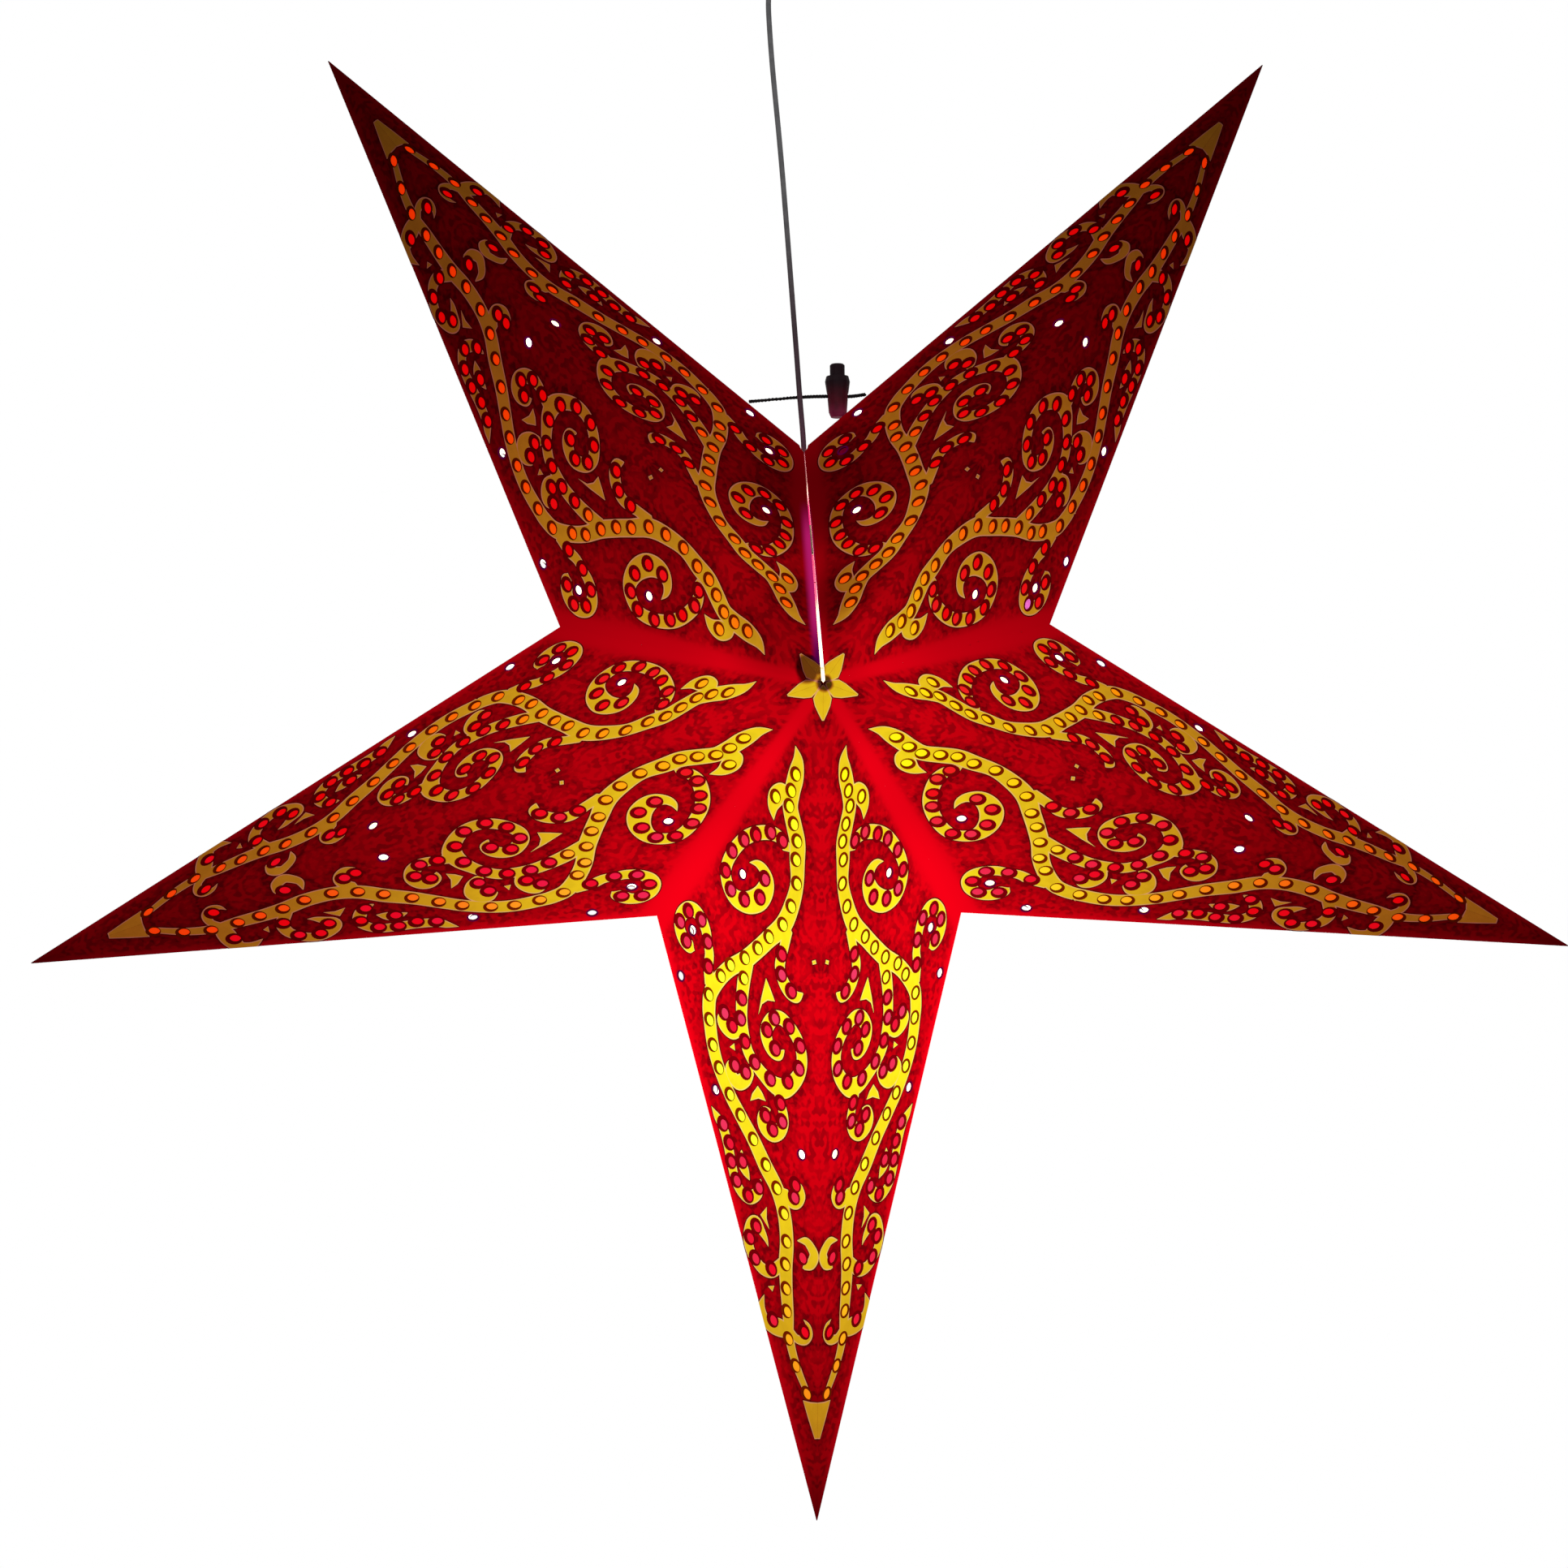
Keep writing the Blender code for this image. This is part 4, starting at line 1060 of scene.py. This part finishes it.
# ---- Operators ----
class LANTERN_OT_card(bpy.types.Operator):
    """Makes the twenty punched panels of card"""

    bl_idname = "lantern.card"
    bl_label = "Punched card"

    def execute(self, context):
        base = punched_card()
        # The cut edge material carries painted shade.
        materials = (card_material(), inside_material(), print_and_shade_material("cut_edge", colours().cut_edge, uneven=0.1))
        for panel, (k, _) in PANELS.items():
            item = place_flat(base, panel, "card", materials)
            if k in BY_SEAM:
                notch_for_cord(item)
            finish_piece(item, f"{panel}_panel", "red_card", panel)
        return {"FINISHED"}


class LANTERN_OT_print(bpy.types.Operator):
    """Prints the gold scrollwork, its outlines and the petals, with rings of painted shade round the dots"""

    bl_idname = "lantern.print"
    bl_label = "Scrollwork"

    def execute(self, context):
        shade = colours()
        materials = [
            print_and_shade_material(f"ink_{name}", getattr(shade, name), curve)
            for name, curve in (
                ("outline", (0.7, 1, 1)), ("edge", (0.6, 1.2, 0.6)), ("gold", (0.7, 1.3, 0.4)),
                ("stem_ring_shade", (0.8, 1, 1)), ("scroll_ring_shade", (0.8, 1, 1)),
            )
        ]
        bases = [print_sheet(shift) for shift in RING_SHIFTS]
        for panel, (k, _) in PANELS.items():
            # The rings of painted shade lie to a different side on each kind of panel.
            item = place_flat(bases[k % 2 + 2 * (k in LOW_ARM)], panel, "print", materials, PRINT_INSET)
            finish_piece(item, f"{panel}_panel", "red_card")
        return {"FINISHED"}


class LANTERN_OT_windows(bpy.types.Operator):
    """Lays a tinted disc of tissue behind each punched dot"""

    bl_idname = "lantern.windows"
    bl_label = "Tinted windows"

    def execute(self, context):
        material = window_material()
        level = -sizes().card - WINDOW_GAP
        base = window_sheet(level)
        for panel in PANELS:
            item = place_flat(base, panel, "windows", (material,), WINDOW_INSET)
            finish_piece(item, f"{panel}_panel", "tissue")
            if panel in ODD_DOTS:
                place, tone = ODD_DOTS[panel]
                build = bmesh.new()
                disc(build, flat(*place), level + WINDOW_GAP / 2)
                odd = place_flat(mesh_of(build, "odd_window"), panel, "odd_window", (odd_material(tone),))
                finish_piece(odd, f"{panel}_panel", "tissue")
        dress(dict.fromkeys([f"{panel}_tissue" for panel in PANELS], tissue_material()))
        return {"FINISHED"}


class LANTERN_OT_cord(bpy.types.Operator):
    """Runs the cord from the lamp holder to its clip and hanging loop"""

    bl_idname = "lantern.cord"
    bl_label = "Cord and loop"

    def execute(self, context):
        dark = cord_material()
        line = [STAR + Vector(point) for point in smooth(CORD_ROUTE, 8)]
        cord = tube_piece("cord", line, CORD_RADIUS, 4, dark)
        finish_piece(cord, "lamp_cord_and_tie", "cord", "power_cord")
        loop = tube_piece("loop", smooth(LOOP_ROUTE, 6), CORD_RADIUS, 4, dark)
        finish_piece(loop, "lamp_cord_and_tie", "cord", "hanging_loop")
        clip = clip_piece()
        finish_piece(clip, "lamp_cord_and_tie", "black_plastic", "loop_clip")
        return {"FINISHED"}


class LANTERN_OT_tie(bpy.types.Operator):
    """Twists the tie string between the two upper arms"""

    bl_idname = "lantern.tie"
    bl_label = "Tie string"

    def execute(self, context):
        black = plain_material("string_fibre", (0.008, 0.006, 0.007), 0.85, 0, 3000, 0.00008, 0.4, 0.1)
        line = tie_line()
        build = bmesh.new()
        for number in range(TIE_PLIES):
            ply = tube_piece("ply", ply_line(line, number), TIE_RADIUS * PLY_RADIUS, 2, black)
            build.from_mesh(ply.data)
            bpy.data.objects.remove(ply)
        tie = smooth_piece("tie", mesh_of(build, "tie"), black)
        finish_piece(tie, "lamp_cord_and_tie", "string", "tie_string")
        return {"FINISHED"}


class LANTERN_OT_fittings(bpy.types.Operator):
    """Finishes the lamp, its holder and the toggle"""

    bl_idname = "lantern.fittings"
    bl_label = "Lamp, holder and toggle"

    def execute(self, context):
        white = holder_material()
        black = plain_material("black_moulding", BLACK, 0.42)
        smoked = toggle_material()
        steel = plain_material("bright_steel", (0.62, 0.62, 0.62), 0.28, 1, 900)
        brass = plain_material("brass", (0.66, 0.46, 0.18), 0.32, 1, 900)
        dress({
            "holder_hood": white, "holder_body": white, "bulb_collar": white, "cord_grip": black,
            "bulb_insulator": black, "toggle_plunger": smoked, "toggle_barrel": smoked,
            "bulb_cap": steel, "bulb_contact": steel, "toggle_spring": steel, "screw_shell": brass,
            "centre_contact": brass, "contact_block": plain_material("ceramic", (0.72, 0.66, 0.56), 0.5),
            "led_board": plain_material("board_mask", (0.85, 0.85, 0.83), 0.45), "bulb_globe": globe_material(),
        })
        return {"FINISHED"}


def studio_world():
    """White where the view passes the lantern, and a soft light on the lantern itself."""
    world = bpy.data.worlds.new("studio")
    world.use_nodes = True
    world.node_tree.nodes.clear()
    nodes = Nodes(world.node_tree)
    rays = nodes.node("LightPath").outputs
    seen = rays["Is Camera Ray"]
    for name in ("Is Glossy Ray", "Is Transmission Ray"):
        seen = nodes.math("MAXIMUM", seen, rays[name])
    lights = [nodes.node("Background", *light).outputs[0] for light in (SOFT_LIGHT, WHITE_LIGHT)]
    nodes.node("OutputWorld", nodes.node("MixShader", seen, *lights).outputs[0])
    return world


class LANTERN_OT_stage(bpy.types.Operator):
    """Sets the floor, the lights, the background and the camera"""

    bl_idname = "lantern.stage"
    bl_label = "Stage"

    def execute(self, context):
        scene = context.scene
        scene.view_settings.view_transform = "Standard"
        build = bmesh.new()
        bmesh.ops.create_grid(
            build, x_segments=1, y_segments=1, size=FLOOR_HALF, matrix=Matrix.Translation((STAR.x, 0, FLOOR_LEVEL))
        )
        mesh = mesh_of(build, "floor")
        mesh.materials.append(Look("floor", 0.9).finish((0.8, 0.8, 0.8)))
        floor = placed("floor", mesh)
        scene.world = studio_world()
        for name, place, power, size in LAMPS:
            lamp = bpy.data.lights.new(name, "AREA")
            lamp.energy = power
            lamp.size = size
            item = placed(name, lamp)
            item.location = place
            item.rotation_euler = (STAR - Vector(place)).to_track_quat("-Z", "Y").to_euler()
        turned = [Matrix.Rotation(math.radians(turn), 3, axis) for turn, axis in zip(VIEW_TURNS, "XYZ")]
        to_world = (turned[0] @ turned[1] @ turned[2] @ Matrix(((1, 0, 0), (0, 0, 1), (0, -1, 0)))).transposed()
        camera = bpy.data.cameras.new("camera")
        camera.sensor_width = SENSOR
        camera.lens = FOCAL_PX / PHOTO_SIZE * SENSOR
        item = placed("camera", camera)
        place = STAR - to_world @ Vector((*VIEW_SHIFT, -VIEW_DEPTH))
        item.matrix_world = Matrix.Translation(place) @ to_world.to_4x4()
        scene.camera = item
        return {"FINISHED"}


class LANTERN_PT_panel(bpy.types.Panel):
    bl_idname = "LANTERN_PT_panel"
    bl_label = "Star lantern"
    bl_space_type = "VIEW_3D"
    bl_region_type = "UI"
    bl_category = "Star lantern"

    def draw(self, context):
        for group in (sizes(), colours()):
            for name in group.__annotations__:
                self.layout.prop(group, name)
        for operator in OPERATORS:
            self.layout.operator(operator.bl_idname)


OPERATORS = (
    LANTERN_OT_stage, LANTERN_OT_cord, LANTERN_OT_card, LANTERN_OT_print, LANTERN_OT_windows, LANTERN_OT_tie,
    LANTERN_OT_fittings,
)
CLASSES = (LanternSizes, LanternColours, *OPERATORS, LANTERN_PT_panel)


def register():
    for kind in CLASSES:
        bpy.utils.register_class(kind)
    bpy.types.Scene.lantern_sizes = bpy.props.PointerProperty(type=LanternSizes)
    bpy.types.Scene.lantern_colours = bpy.props.PointerProperty(type=LanternColours)


def unregister():
    del bpy.types.Scene.lantern_colours
    del bpy.types.Scene.lantern_sizes
    for kind in reversed(CLASSES):
        bpy.utils.unregister_class(kind)


def main():
    register()
    bpy.ops.lantern.stage()
    bpy.ops.lantern.cord()
    bpy.ops.lantern.card()
    bpy.ops.lantern.print()
    bpy.ops.lantern.windows()
    bpy.ops.lantern.tie()
    bpy.ops.lantern.fittings()


if __name__ == "__main__":
    main()
